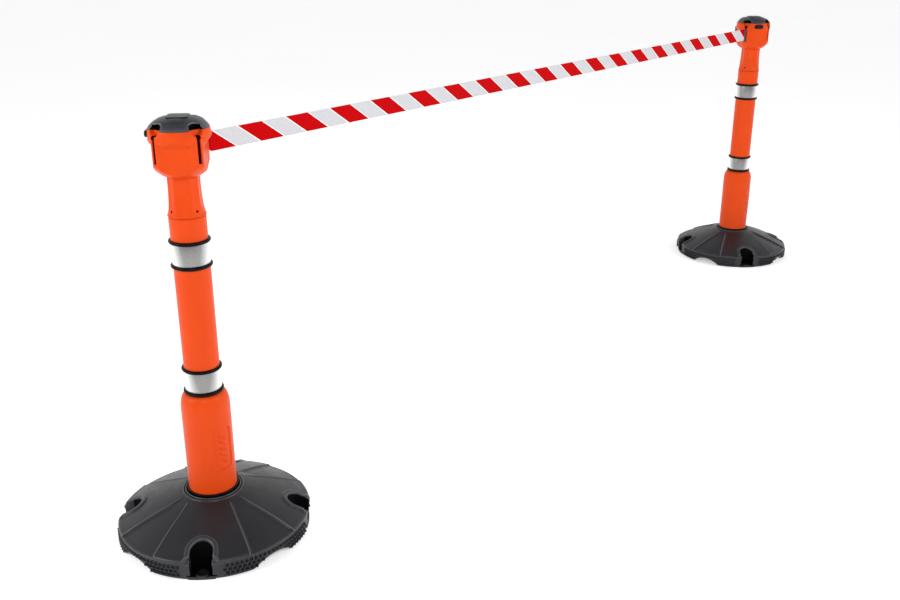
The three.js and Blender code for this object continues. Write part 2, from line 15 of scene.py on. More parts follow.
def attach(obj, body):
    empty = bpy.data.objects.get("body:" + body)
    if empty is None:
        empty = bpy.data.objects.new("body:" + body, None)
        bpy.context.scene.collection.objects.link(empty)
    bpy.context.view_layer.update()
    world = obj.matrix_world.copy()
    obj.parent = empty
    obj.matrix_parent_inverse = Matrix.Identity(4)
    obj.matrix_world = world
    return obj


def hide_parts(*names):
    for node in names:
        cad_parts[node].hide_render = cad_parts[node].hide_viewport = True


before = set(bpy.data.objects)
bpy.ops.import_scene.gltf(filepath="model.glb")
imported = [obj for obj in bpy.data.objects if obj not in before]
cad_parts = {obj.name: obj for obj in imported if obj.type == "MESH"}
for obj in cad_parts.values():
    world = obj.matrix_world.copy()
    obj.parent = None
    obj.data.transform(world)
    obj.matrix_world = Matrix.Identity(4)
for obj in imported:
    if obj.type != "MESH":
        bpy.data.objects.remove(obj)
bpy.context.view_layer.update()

# ---------------------------- sizes (millimetres)

MM = 0.001
POST_X = {"a": -1500, "b": 1500}
HEAD_TURN = {"a": 0, "b": 90}
BASE_TURN = -1.2
CORNERS = (0, 90, 180, 270)
FACES = (45, 135, 225, 315)
BOLT_HOLE = 6.3
BOLT_RECESS = 13

SLEEVE_RADIUS = 60.6
SLEEVE_FOOT = 20.3
SHOULDER_FOOT = 352
SHOULDER_TOP = 392
TUBE_RADIUS = 43.6
TUBE_TOP = 844.2
SPIGOT_RADIUS = 30
SPIGOT_TOP = 924
LABEL = {"azimuth": -90, "middle": 246.5, "width": 54, "height": 113, "corner": 12, "depth": 2.6}
RING_HEIGHTS = (397.4, 457.2, 723.8, 784.3)
RING_SECTION = 4.6
RING_RADIUS = 44.85

BASE_DOME = ((80, 115), (85.5, 113.5), (110, 105), (150, 91), (190, 75.5), (218, 63), (230, 57))
BASE_LIP = ((230, 57), (236, 54.8), (240.5, 52.3), (243.2, 49.3), (244, 46), (243.5, 42.4), (241.5, 39.5))
BASE_BAND = 241.5
BASE_FOOT = 239.5
CREASE_START = 50.8                    # each pair of creases meets this far out on its corner's axis
CREASE_ANGLE = 20
CREASE_DOT = {"place": 85.5, "radius": 1.9, "turn": 7.85}
NOTCH_HALF = 27.5
NOTCH_END = 188
NOTCH_FLOOR = 8
MOUTH_START = 236
MOUTH_FRONT = 241
ARCH_RISE = 24
ARCH_HALF = 60
ARCH_INNER = 175.5
EYE_PLACE = 222                        # the ringed recess in each notch floor
EYE_RADIUS = 17
EYE_FLOOR = 3
STUD = {"rows": (32.5, 21.5, 10.5), "pitch": 12, "width": 8.6, "tall": 7.6, "deep": 5.7, "clear": 13.5}

CHIN = 941
RIM = 1051
FACE_DISTANCE = 55
PANEL_HALF = 29
COLUMN_START = 43
COLUMN_LIFT = 2.3
COLUMN_RADIUS = 72
VISOR_RADIUS = 71
VISOR_FOOT = 1009.5
VISOR_SLOPE = 0.8
SLIT = 8
SLIT_LOW = 976
CHANNEL_PLACE = 64
CHANNEL_RADIUS = 5.8
CHANNEL_BACK = 50
SCOOP_RADIUS = 17
KEYHOLE = {"height": 1035.5, "radius": 6.3}       # the wider top of each slit
SCOOP_BACK = 57
SCOOP_HEIGHT = 1055
CAVITY_RADIUS = 47
BUTTON = {"azimuth": 135, "height": 1038.5, "width": 37, "tall": 15.5, "front": 75.4}
BUTTON_DISH = {"width": 55, "tall": 28, "floor": 67.5}
NECK_SCREW = {"height": 860, "hole": 2.8, "head_hole": 3.4, "start": 27, "neck": 36, "end": 39.5}
OUTSIDE = 90                           # beyond the widest part of the head

CAP_NOTCH_PLACE = 74
CAP_NOTCH_RADIUS = 21
CAP_FOOT = 1051.3
CAP_NICHE = {"x_low": 46.5, "x_high": 66, "width": 32, "z_low": 1052, "z_high": 1062.5}
CAP_UNDERCUT = {"radius": 25, "spread": 50, "low": 1052, "high": 1059.5}
PAD_HALF = 25
PAD_CORNER = 10

TAPE_LOW = 980.4
TAPE_HIGH = 1028.4
TAPE_THICK = 0.5
ROLL_RADIUS = 32.2
GUIDE_PLACE = 46                       # where the tape bends, out from the head's axis
CLIP = {"pin": 64, "pin_radius": 4.3, "bar": 77.9, "bar_radius": 4.5, "low": 978, "high": 1030}
STRIPE = {"period": 150, "red": 73, "line": 4, "slant": 68.4, "start": 165.4}

# Pitches of the fine patterns, in metres.
HATCH_PITCH = 0.0034
WARP_PITCH = 0.0011
WEFT_PITCH = 0.0014

# ---------------------------- mesh helpers


def smoothstep(low, high, value):
    share = np.clip((value - low) / (high - low), 0, 1)
    return share * share * (3 - 2 * share)


def hump(value, centre, width):
    """A bell-shaped rise to 1 at the centre."""
    return np.exp(-(((value - centre) / width) ** 2))


def edge_drop(gap, size, depth):
    """How far a rounded edge has dropped, at some distance from the edge line."""
    fall = np.clip(1 - gap / size, 0, 1)
    return depth * (1 - np.sqrt(1 - fall * fall))


def soft_max(first, second, softness):
    """The larger of two surfaces, blended over about the softness."""
    near = np.clip(1 - np.abs(first - second) / softness, 0, 1)
    return np.maximum(first, second) + near * near * softness / 4


def soft_min(first, second, softness):
    return -soft_max(-first, -second, softness)


def curve_through(knots, places):
    """A smooth monotone curve through (place, value) knots, read at the given places."""
    x, y = np.array(sorted(knots), float).T
    step = np.diff(x)
    slope = np.diff(y) / step
    tangent = np.concatenate(([slope[0]], (slope[:-1] + slope[1:]) / 2, [slope[-1]]))
    turning = slope[:-1] * slope[1:] <= 0
    tangent[1:-1][turning] = 0
    limit = 3 * np.minimum(np.abs(np.append(slope, slope[-1])), np.abs(np.insert(slope, 0, slope[0])))
    tangent = np.clip(tangent, -limit, limit)
    i = np.clip(np.searchsorted(x, places) - 1, 0, len(slope) - 1)
    t = np.clip((places - x[i]) / step[i], 0, 1)
    start = (1 + 2 * t) * (1 - t) ** 2 * y[i] + t * (1 - t) ** 2 * step[i] * tangent[i]
    end = t * t * (3 - 2 * t) * y[i + 1] + t * t * (t - 1) * step[i] * tangent[i + 1]
    return start + end


def off_azimuth(azimuth, centre, period=90):
    """Degrees from the nearest of the azimuths centre, centre + period, ..."""
    return (azimuth - centre + period / 2) % period - period / 2


def make_mesh(name, points, faces, sharp=35):
    """A mesh from points in millimetres, facing outwards, smooth except at edges sharper than that angle."""
    mesh = bpy.data.meshes.new(name)
    mesh.from_pydata((np.asarray(points, float) * MM).tolist(), [], faces)
    tidy = bmesh.new()
    tidy.from_mesh(mesh)
    bmesh.ops.remove_doubles(tidy, verts=tidy.verts, dist=1e-6)
    bmesh.ops.dissolve_degenerate(tidy, edges=tidy.edges, dist=1e-7)
    if tidy.calc_volume(signed=True) < 0:
        bmesh.ops.reverse_faces(tidy, faces=tidy.faces)
    tidy.to_mesh(mesh)
    tidy.free()
    shade(mesh, sharp)
    return mesh


def shade(mesh, sharp=35):
    mesh.shade_smooth()
    mesh.set_sharp_from_angle(angle=math.radians(sharp))


def ring_faces(rows, columns, closed_rows=False):
    """Quads between successive rings of points, each ring having that many columns."""
    faces = []
    for row in range(rows if closed_rows else rows - 1):
        here = row * columns
        above = ((row + 1) % rows) * columns
        for column in range(columns):
            following = (column + 1) % columns
            faces.append((here + column, here + following, above + following, above + column))
    return faces


def ring_points(radius, height, azimuth):
    """Grids of radius and height over azimuths in degrees, as a list of points."""
    swing = np.radians(azimuth)
    radius, height = np.broadcast_arrays(radius, height)
    points = np.stack([radius * np.cos(swing), radius * np.sin(swing), height + 0 * swing], axis=-1)
    return points.reshape(-1, 3)


def revolve(name, profile, segments=96, closed=False, sharp=35):
    """A turned body. An open profile starts and ends on the axis; a closed one is a ring."""
    azimuth = np.arange(segments) * 360 / segments
    radius, height = np.array(profile, float).T
    points = ring_points(radius[:, None], height[:, None], azimuth[None, :])
    return make_mesh(name, points, ring_faces(len(profile), segments, closed), sharp)


def capped_grid(name, radius, height, azimuth, sharp=35):
    """A body from grids of radius and height (rings from foot to top), closed by a point at each end."""
    radius, height = np.broadcast_arrays(radius, height)
    rows, columns = radius.shape
    points = ring_points(radius, height, azimuth[None, :])
    foot = len(points)
    ends = [(0, 0, height[0].mean()), (0, 0, height[-1].mean())]
    faces = ring_faces(rows, columns)
    last = (rows - 1) * columns
    for column in range(columns):
        following = (column + 1) % columns
        faces.append((foot, following, column))
        faces.append((foot + 1, last + column, last + following))
    return make_mesh(name, np.vstack([points, ends]), faces, sharp)


def raised_ring(name, profile, azimuth, relief):
    """A ring turned from a closed profile, with relief(radius, height, azimuth) added to its radius."""
    radius, height = np.array(profile, float).T[:, :, None]
    radius = radius + relief(radius, height, azimuth[None, :])
    points = ring_points(radius, height, azimuth[None, :])
    return make_mesh(name, points, ring_faces(len(profile), len(azimuth), True))


def rounded(profile, radius, steps=5):
    """The profile with each inner corner turned into an arc of about that radius."""
    out = [profile[0]]
    for before, corner, after in zip(profile, profile[1:], profile[2:]):
        here = np.array(corner, float)
        back = np.array(before, float) - here
        ahead = np.array(after, float) - here
        reach = min(radius, 0.45 * np.linalg.norm(back), 0.45 * np.linalg.norm(ahead))
        start = here + back / np.linalg.norm(back) * reach
        end = here + ahead / np.linalg.norm(ahead) * reach
        for i in range(steps + 1):
            t = i / steps
            out.append(tuple((1 - t) ** 2 * start + 2 * t * (1 - t) * here + t * t * end))
    out.append(profile[-1])
    return out


def stadium(width, tall, corner=None, steps=10):
    """A rectangle outline with round corners, anticlockwise about the origin."""
    corner = tall / 2 if corner is None else corner
    points = []
    for quarter, (sx, sy) in enumerate(((1, 1), (-1, 1), (-1, -1), (1, -1))):
        for i in range(steps + 1):
            swing = math.radians(90 * (quarter + i / steps))
            x = sx * (width / 2 - corner) + corner * math.cos(swing)
            y = sy * (tall / 2 - corner) + corner * math.sin(swing)
            points.append((x, y))
    return points


def inset(outline, amount):
    """The outline moved inwards by an amount, for outlines with round corners."""
    points = np.array(outline)
    along = np.roll(points, -1, axis=0) - np.roll(points, 1, axis=0)
    along = along / np.maximum(np.linalg.norm(along, axis=1, keepdims=True), 1e-9)
    return points + amount * np.stack([-along[:, 1], along[:, 0]], axis=1)


def stacked(name, layers, place, sharp=35):
    """A closed body from outlines at depths: place turns (x, y, depth) into a point."""
    points = [place(x, y, depth) for outline, depth in layers for x, y in outline]
    columns = len(layers[0][0])
    faces = ring_faces(len(layers), columns)
    last = (len(layers) - 1) * columns
    faces.append(tuple(reversed(range(columns))))
    faces.append(tuple(last + column for column in range(columns)))
    return make_mesh(name, points, faces, sharp)


def upwards(x, y, depth):
    return (x, y, depth)


def outwards(height):
    """Puts an outline (across, up) at a radius on the +X side, about that height."""
    return lambda across, up, depth: (depth, across, height + up)


def bead(outline, low, high, edge, steps=4):
    """Layers of a slab whose top edge is rounded by the edge size."""
    layers = [(outline, low)]
    for i in range(steps + 1):
        swing = math.radians(90 * i / steps)
        layers.append((inset(outline, edge * (1 - math.cos(swing))), high - edge + edge * math.sin(swing)))
    return layers


def cylinder(radius, low, high, segments=48):
    return revolve("tool", [(0, low), (radius, low), (radius, high), (0, high)], segments)


def radial_bar(radius, start, end, height, segments=32):
    """A cylinder along +X from one distance to another."""
    return laid_along_x(cylinder(radius, start, end, segments), height)


def laid_along_x(mesh, height):
    """Turns an upright body to lie along +X at that height."""
    mesh.transform(Matrix.Translation((0, 0, height * MM)) @ Matrix.Rotation(math.radians(90), 4, "Y"))
    return mesh


def prism(outline, low, high, place=upwards):
    return stacked("tool", [(outline, low), (outline, high)], place)


def block(x_low, x_high, width, z_low, z_high):
    half = width / 2
    return prism([(x_low, -half), (x_high, -half), (x_high, half), (x_low, half)], z_low, z_high)


def turned_by(mesh, degrees):
    mesh.transform(Matrix.Rotation(math.radians(degrees), 4, "Z"))
    return mesh


def moved_by(mesh, x=0, y=0, z=0):
    mesh.transform(Matrix.Translation((x * MM, y * MM, z * MM)))
    return mesh


def joined(name, meshes):
    """Several meshes as one, kept as separate shells."""
    body = bmesh.new()
    for mesh in meshes:
        body.from_mesh(mesh)
        bpy.data.meshes.remove(mesh)
    out = bpy.data.meshes.new(name)
    body.to_mesh(out)
    body.free()
    return out


def new_object(name, data):
    """An object in the scene."""
    fresh = bpy.data.objects.new(name, data)
    bpy.context.scene.collection.objects.link(fresh)
    return fresh


def carve(mesh, tools, operation="DIFFERENCE", sharp=35):
    """Cuts meshes out of a mesh, or joins them to it, and returns the result, shaded."""
    body = new_object("carved", mesh)
    helpers = [new_object("tool", tool) for tool in tools]
    for helper in helpers:
        modifier = body.modifiers.new("carve", "BOOLEAN")
        modifier.operation = operation
        modifier.solver = "MANIFOLD"
        modifier.object = helper
    graph = bpy.context.evaluated_depsgraph_get()
    result = bpy.data.meshes.new_from_object(body.evaluated_get(graph))
    result.name = mesh.name
    for helper in [body, *helpers]:
        data = helper.data
        bpy.data.objects.remove(helper)
        bpy.data.meshes.remove(data)
    shade(result, sharp)
    return result


# ---------------------------- material helpers


class Nodes:
    """Adds linked nodes to a new material, or to another new datablock with nodes."""

    def __init__(self, name, library=bpy.data.materials, shader="Principled BSDF"):
        self.owner = library.new(name)
        self.owner.use_nodes = True
        self.tree = self.owner.node_tree
        self.shader = self.tree.nodes[shader]
        self.coordinates = self.add("ShaderNodeTexCoord").outputs
        self.place = self.coordinates["Object"]

    def feed(self, socket, value):
        """Links an output to the socket, or sets its constant; a colour is given as three numbers."""
        if isinstance(value, bpy.types.NodeSocket):
            self.tree.links.new(value, socket)
        elif socket.type == "RGBA":
            socket.default_value = (*value, 1)
        else:
            socket.default_value = value

    def add(self, kind, inputs=(), **settings):
        node = self.tree.nodes.new(kind)
        for key, value in settings.items():
            setattr(node, key, value)
        for key, value in dict(inputs).items():
            self.feed(node.inputs[key], value)
        return node

    def maths(self, operation, *values):
        return self.add("ShaderNodeMath", enumerate(values), operation=operation).outputs[0]

    def times(self, first, second):
        return self.maths("MULTIPLY", first, second)

    def axes(self, vector):
        return self.add("ShaderNodeSeparateXYZ", {0: vector}).outputs

    def noise(self, scale, detail=3, stretch=(1, 1, 1)):
        vector = self.add("ShaderNodeMapping", {"Vector": self.place, "Scale": stretch}).outputs[0]
        inputs = {"Vector": vector, "Scale": scale, "Detail": detail}
        return self.add("ShaderNodeTexNoise", inputs).outputs["Fac"]

    def range(self, value, low, high, from_low=0.3, from_high=0.7, **settings):
        inputs = {"Value": value, "From Min": from_low, "From Max": from_high, "To Min": low, "To Max": high}
        return self.add("ShaderNodeMapRange", inputs, **settings).outputs[0]

    def mix(self, share, first, second):
        """Mixes two colours; either may be a socket."""
        return self.add("ShaderNodeMix", {0: share, 6: first, 7: second}, data_type="RGBA").outputs[2]

    def bump(self, height, strength, distance, after=None):
        inputs = {"Height": height, "Strength": strength, "Distance": distance}
        if after is not None:
            inputs["Normal"] = after
        return self.add("ShaderNodeBump", inputs).outputs["Normal"]

    def finish(self, colour, roughness, normal=None, **settings):
        inputs = {"Base Color": colour, "Roughness": roughness}
        if normal is not None:
            inputs["Normal"] = normal
        for name, value in settings.items():
            inputs[name.replace("_", " ")] = value
        for name, value in inputs.items():
            self.feed(self.shader.inputs[name], value)
        return self.owner


def painted_edge_highlight(nodes, tone, pale, amount, above):
    """Paints highlights along raised edges, a lighter colour standing in for the light they catch, above
    some height in metres.
    """
    raised = nodes.range(nodes.add("ShaderNodeNewGeometry").outputs["Pointiness"], 0, amount, 0.505, 0.57)
    reach = nodes.range(nodes.axes(nodes.place)["Z"], 0, 1, above, above + 0.004)
    return nodes.mix(nodes.times(raised, reach), tone, pale)


def painted_steep_sheen(nodes, tone, pale):
    """Painted sheen: a lighter grey on walls that stand steep, where they catch the light."""
    upright = nodes.axes(nodes.add("ShaderNodeNewGeometry").outputs["Normal"])["Z"]
    return nodes.mix(nodes.range(upright, 1, 0, 0.5, 0.9), tone, pale)


def moulded_plastic(name, colour, dark, rough, grain_scale, grain_depth, specular=0.5, wall_sheen=None):
    """Moulded plastic: cloudy colour, uneven gloss, a fine spark-eroded grain, and, if a wall sheen is
    given, a painted sheen on steep walls.
    """
    nodes = Nodes(name)
    cloud = nodes.range(nodes.noise(14, 4), 0, 1)
    speckle = nodes.range(nodes.noise(900, 2), 0, 1)
    share = nodes.times(nodes.maths("ADD", cloud, speckle), 0.5)
    tone = nodes.mix(share, dark, colour)
    if wall_sheen is not None:
        tone = painted_steep_sheen(nodes, tone, wall_sheen)
    gloss = nodes.range(nodes.noise(60, 5), rough - 0.05, rough + 0.06)
    grain = nodes.bump(nodes.noise(grain_scale, 2), 0.35, grain_depth)
    flow = nodes.bump(nodes.noise(35, 2, (1, 1, 0.35)), 0.12, 0.0006, grain)
    return nodes.finish(tone, gloss, flow, Specular_IOR_Level=specular)


def base_rubber():
    """Moulded rubber: fine grain and faint clouds over a deep grey, with painted highlights along its raised
    edges.
    """
    nodes = Nodes("base_rubber")
    cloud = nodes.range(nodes.noise(9, 5), 0, 1)
    tone = nodes.mix(cloud, (0.0090, 0.0096, 0.0120), (0.0140, 0.0150, 0.0190))
    speck = nodes.range(nodes.noise(1400, 2), 0, 1, 0.5, 0.75)
    tone = nodes.mix(nodes.times(speck, 0.3), tone, (0.035, 0.037, 0.042))
    # Painted highlight: a lighter grey along the raised lips, crests and rim, above the studs.
    tone = painted_edge_highlight(nodes, tone, (0.17, 0.18, 0.215), 0.8, 0.040)
    gloss = nodes.range(nodes.noise(40, 4), 0.34, 0.44)
    grain = nodes.bump(nodes.noise(1100, 3), 0.4, 0.0004)
    return nodes.finish(tone, gloss, grain, Specular_IOR_Level=0.42)


def ring_rubber():
    nodes = Nodes("ring_rubber")
    cloud = nodes.range(nodes.noise(80, 3), 0, 1)
    tone = nodes.mix(cloud, (0.0008, 0.0009, 0.0014), (0.0022, 0.0024, 0.0034))
    gloss = nodes.range(nodes.noise(200, 3), 0.30, 0.40)
    grain = nodes.bump(nodes.noise(700, 2), 0.15, 0.0002)
    return nodes.finish(tone, gloss, grain, Specular_IOR_Level=0.10)


def reflective_sheet():
    """Silver retro-reflective sheeting: a fine crossed hatch of tiny prisms under a clear film, with a
    painted sheen that turns it near-white where it is seen edge-on.
    """
    nodes = Nodes("reflective_sheet")
    x, y, z = nodes.axes(nodes.place)
    around = nodes.times(nodes.maths("ARCTAN2", y, x), TUBE_RADIUS * MM)
    lines = []
    for sign in (1, -1):
        slanted = nodes.maths("ADD", around, nodes.times(z, sign))
        wave = nodes.maths("SINE", nodes.times(slanted, 2 * math.pi / HATCH_PITCH))
        lines.append(nodes.range(wave, 0, 1, -0.4, 1))
    hatch = nodes.times(*lines)
    speck = nodes.range(nodes.noise(700, 2), 0, 1)
    share = nodes.times(nodes.maths("ADD", hatch, speck), 0.5)
    hatched = nodes.mix(share, (0.20, 0.20, 0.198), (0.40, 0.40, 0.395))
    # Painted sheen: near-white where the band is seen edge-on.
    facing = nodes.add("ShaderNodeLayerWeight", {"Blend": 0.5})
    tone = nodes.mix(nodes.range(facing.outputs["Facing"], 0, 1, 0.15, 0.6), hatched, (0.97, 0.975, 0.98))
    gloss = nodes.range(speck, 0.22, 0.34, 0, 1)
    normal = nodes.bump(hatch, 0.35, 0.0003)
    return nodes.finish(tone, gloss, normal, Metallic=0.92, Specular_IOR_Level=0.6)


def metal(name, dark, light, rough, turned=True):
    """Plated or blued steel with fine turning marks."""
    nodes = Nodes(name)
    marks = nodes.noise(500, 3, (1, 1, 6) if turned else (6, 1, 1))
    tone = nodes.mix(nodes.range(marks, 0, 1), dark, light)
    gloss = nodes.range(nodes.noise(90, 3), rough - 0.06, rough + 0.08)
    return nodes.finish(tone, gloss, nodes.bump(marks, 0.2, 0.0001), Metallic=1.0)


def tape_cloth(name, striped):
    """Woven tape, printed red with slanted grey reflective blocks edged in white."""
    nodes = Nodes(name)
    x, _, z = nodes.axes(nodes.place)
    warp = nodes.maths("SINE", nodes.times(z, 2 * math.pi / WARP_PITCH))
    weft = nodes.maths("SINE", nodes.times(x, 2 * math.pi / WEFT_PITCH))
    weave = nodes.times(warp, weft)
    shade_noise = nodes.range(nodes.noise(260, 3), 0, 1)
    tone = red = nodes.mix(shade_noise, (0.44, 0.0, 0.001), (0.56, 0.0, 0.002))
    if striped:
        drop = nodes.maths("SUBTRACT", TAPE_HIGH * MM, z)
        slanted = nodes.times(drop, STRIPE["slant"] / (TAPE_HIGH - TAPE_LOW))
        start = (POST_X["a"] + STRIPE["start"] - 4 * STRIPE["period"]) * MM
        along = nodes.maths("SUBTRACT", nodes.maths("SUBTRACT", x, slanted), start)
        place = nodes.maths("MODULO", along, STRIPE["period"] * MM)
        not_red = nodes.maths("GREATER_THAN", place, STRIPE["red"] * MM)
        after_line = nodes.maths("GREATER_THAN", place, (STRIPE["red"] + STRIPE["line"]) * MM)
        before_line = nodes.maths("LESS_THAN", place, (STRIPE["period"] - STRIPE["line"]) * MM)
        block_share = nodes.times(after_line, before_line)
        bead_noise = nodes.range(nodes.noise(900, 2), 0, 1)
        grey = nodes.mix(bead_noise, (0.48, 0.48, 0.51), (0.68, 0.68, 0.71))
        pale = nodes.mix(block_share, (0.88, 0.88, 0.88), grey)
        tone = nodes.mix(not_red, red, pale)
    normal = nodes.bump(weave, 0.25, 0.00015)
    gloss = nodes.range(shade_noise, 0.62, 0.74, 0, 1)
    return nodes.finish(tone, gloss, normal, Specular_IOR_Level=0.04)


ORANGE = moulded_plastic("orange_plastic", (0.765, 0.067, 0.001), (0.685, 0.054, 0.001),
                         0.38, 1500, 0.00025, 0.17)
# Painted shade: dark red for the inner walls of the corner slits.
PAINTED_SLIT_SHADE = moulded_plastic("painted_slit_shade", (0.11, 0.0010, 0.0008), (0.06, 0.0005, 0.0005),
                             0.6, 1500, 0.00025, 0.03)
# Black plastic; the lighter grey given last is a painted sheen on its steep walls.
BLACK = moulded_plastic("black_plastic", (0.012, 0.013, 0.017), (0.007, 0.008, 0.011),
                        0.38, 1300, 0.0004, 0.40, (0.060, 0.065, 0.080))
# Painted shade: near-black for the faces of deep notches and niches.
PAINTED_DEEP_SHADE = moulded_plastic("painted_deep_shade", (0.002, 0.002, 0.0025), (0.001, 0.001, 0.0012),
                             0.6, 1300, 0.0004, 0.05)
BUTTON_BLACK = moulded_plastic("button_black", (0.004, 0.004, 0.005), (0.002, 0.002, 0.003),
                               0.36, 1300, 0.0003, 0.22)
PAD_GREY = moulded_plastic("pad_plastic", (0.018, 0.020, 0.026), (0.012, 0.013, 0.017),
                           0.42, 1100, 0.0004, 0.45)
SCREW_STEEL = metal("screw_steel", (0.015, 0.015, 0.017), (0.035, 0.035, 0.04), 0.4)
NYLON = moulded_plastic("nylon", (0.80, 0.78, 0.72), (0.72, 0.70, 0.64), 0.5, 900, 0.0002)
RUBBER = base_rubber()
RING_RUBBER = ring_rubber()
REFLECTIVE = reflective_sheet()
STEEL = metal("steel", (0.42, 0.43, 0.44), (0.60, 0.61, 0.62), 0.3)
SPRING_STEEL = metal("spring_steel", (0.14, 0.17, 0.22), (0.28, 0.33, 0.38), 0.28, False)
STRIPED_TAPE = tape_cloth("striped_tape", True)
ROLLED_TAPE = tape_cloth("rolled_tape", False)


def paint_inside(mesh, inside):
    """Gives the second material, a painted shade, to the faces whose centre, in millimetres, is inside."""
    for face in mesh.polygons:
        face.material_index = int(bool(inside(*(face.center / MM))))


def add_piece(name, mesh, material, nodes, unit=None, turn=0, body="posts"):
    """Shows a mesh in place of one or more CAD nodes: at a unit, turned by some degrees."""
    finishes = material if isinstance(material, tuple) else (material,)
    piece = new_object(name, mesh)
    if mesh.users == 1:
        mesh.materials.clear()
        for finish in finishes:
            mesh.materials.append(finish)
        if len(finishes) > 1:
            paint_inside(mesh, INSIDE[mesh.name])
    if unit is not None:
        piece.location = (POST_X[unit] * MM, 0, 0)
        piece.rotation_euler = (0, 0, math.radians(turn))
    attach(piece, body)
    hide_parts(*nodes)
    return piece


# ---------------------------- base


def notch_gap(x, y):
    """Distance from a point to the nearest notch's edge; negative inside the notch."""
    gap = np.full(np.broadcast(x, y).shape, 1e3)
    centre = NOTCH_END + NOTCH_HALF
    for azimuth in FACES:
        swing = math.radians(azimuth)
        out = x * math.cos(swing) + y * math.sin(swing)
        across = -x * math.sin(swing) + y * math.cos(swing)
        round_end = np.hypot(out - centre, across) - NOTCH_HALF
        flare = np.maximum(out - MOUTH_START + 6, 0)
        side = np.abs(across) - NOTCH_HALF - flare
        gap = np.where(out > 0, np.minimum(gap, np.where(out > centre, side, round_end)), gap)
    return gap


def crease_gap(radius, azimuth):
    """Distance outside the nearest narrow facet's straight creases; negative inside a facet."""
    off = np.radians(np.abs(off_azimuth(azimuth, 0)))
    angle = math.radians(CREASE_ANGLE)
    across = radius * np.sin(off)
    out = radius * np.cos(off) - CREASE_START
    return across * math.cos(angle) - out * math.sin(angle)


def base_relief(radius, azimuth):
    """Height added to the dome: sunken narrow facets, beads along their edges, and notch lips."""
    edge = crease_gap(radius, azimuth)
    step = -4.4 * (1 - smoothstep(-5.5, 1.0, edge)) * smoothstep(84, 125, radius)
    crest = 1.3 * hump(edge, 2.0, 1.8) * smoothstep(86, 96, radius)
    gap = notch_gap(radius * np.cos(np.radians(azimuth)), radius * np.sin(np.radians(azimuth)))
    bulge = np.sqrt(np.clip(1 - ((gap - 6.8) / 7.0) ** 2, 0, 1))
    lip = 4.3 * bulge * (1 - 0.8 * smoothstep(232, 243, radius))
    return step + crest + lip - edge_drop(gap, 3, 3.0)


def stud(width, tall, deep):
    """One rim stud: a blunt pyramid that points out along +X."""
    root = [(-width / 2, -tall / 2), (width / 2, -tall / 2), (width / 2, tall / 2), (-width / 2, tall / 2)]
    tip = [(0.42 * across, 0.40 * up) for across, up in root]
    return [(root, BASE_FOOT - 2), (root, BASE_FOOT + 0.8), (tip, BASE_BAND + deep)]


def arch_height(across):
    """Height of a lifting arch at a distance across it."""
    radius = (ARCH_HALF**2 + ARCH_RISE**2) / (2 * ARCH_RISE)
    return ARCH_RISE - radius + math.sqrt(max(radius**2 - across**2, 0)) if abs(across) < ARCH_HALF else 0


def rim_studs():
    """Three staggered rows of studs, left out beside the notches and over the lifting arches."""
    count = round(2 * math.pi * BASE_BAND / STUD["pitch"])
    clear = STUD["clear"]
    shells = []
    for row, height in enumerate(STUD["rows"]):
        for i in range(count):
            azimuth = (i + 0.5 * (row % 2)) * 360 / count
            if abs(off_azimuth(azimuth, 45)) < clear:
                continue
            across = BASE_BAND * math.sin(math.radians(off_azimuth(azimuth, 0)))
            if height - STUD["tall"] / 2 < arch_height(across) + 0.8:
                continue
            layers = stud(STUD["width"], STUD["tall"], STUD["deep"])
            shells.append(turned_by(stacked("stud", layers, outwards(height), 20), azimuth))
    return joined("studs", shells)


def base_body():
    """The weight before its notches, arches and studs."""
    azimuth = np.arange(900) * 0.4
    collar = rounded([
        (0, 20), (61.4, 20), (61.4, 106), (66.6, 106), (66.6, 118.6), (68.6, 120.9), (70.6, 119.0),
        (71.2, 115.6), (72.8, 115.2), (75.0, 118.4), (77.2, 117.4), (78.2, 115.2), (80, 115),
    ], 1.1, 3)
    lip = rounded(BASE_LIP, 2.2, 3)
    skirt = np.array([
        (BASE_BAND, 37), (BASE_BAND - 0.8, 16), (BASE_FOOT, 2.2), (BASE_FOOT - 2, 0), (200, 0), (90, 0),
    ])
    dome_radius = np.linspace(80, 230, 100)
    dome_height = curve_through(BASE_DOME, dome_radius)
    inner = np.array(collar[1:-1])
    outer = np.array(lip[1:])
    radius = np.concatenate([inner[:, 0], dome_radius, outer[:, 0], skirt[:, 0]])[:, None]
    height = np.concatenate([inner[:, 1], dome_height, outer[:, 1], skirt[:, 1]])[:, None]
    fading = np.linspace(1, 0.25, len(outer))
    share = np.concatenate([0 * inner[:, 0], np.ones(len(dome_radius)), fading, 0 * skirt[:, 0]])[:, None]
    nick = 1.6 * hump(crease_gap(radius, azimuth[None, :]), -1.2, 1.1)
    nick = nick * smoothstep(228, 238, radius) * (share > 0)
    height = height + share * base_relief(radius, azimuth[None, :]) - nick
    radius = radius - nick
    return capped_grid("base", radius, height, azimuth)


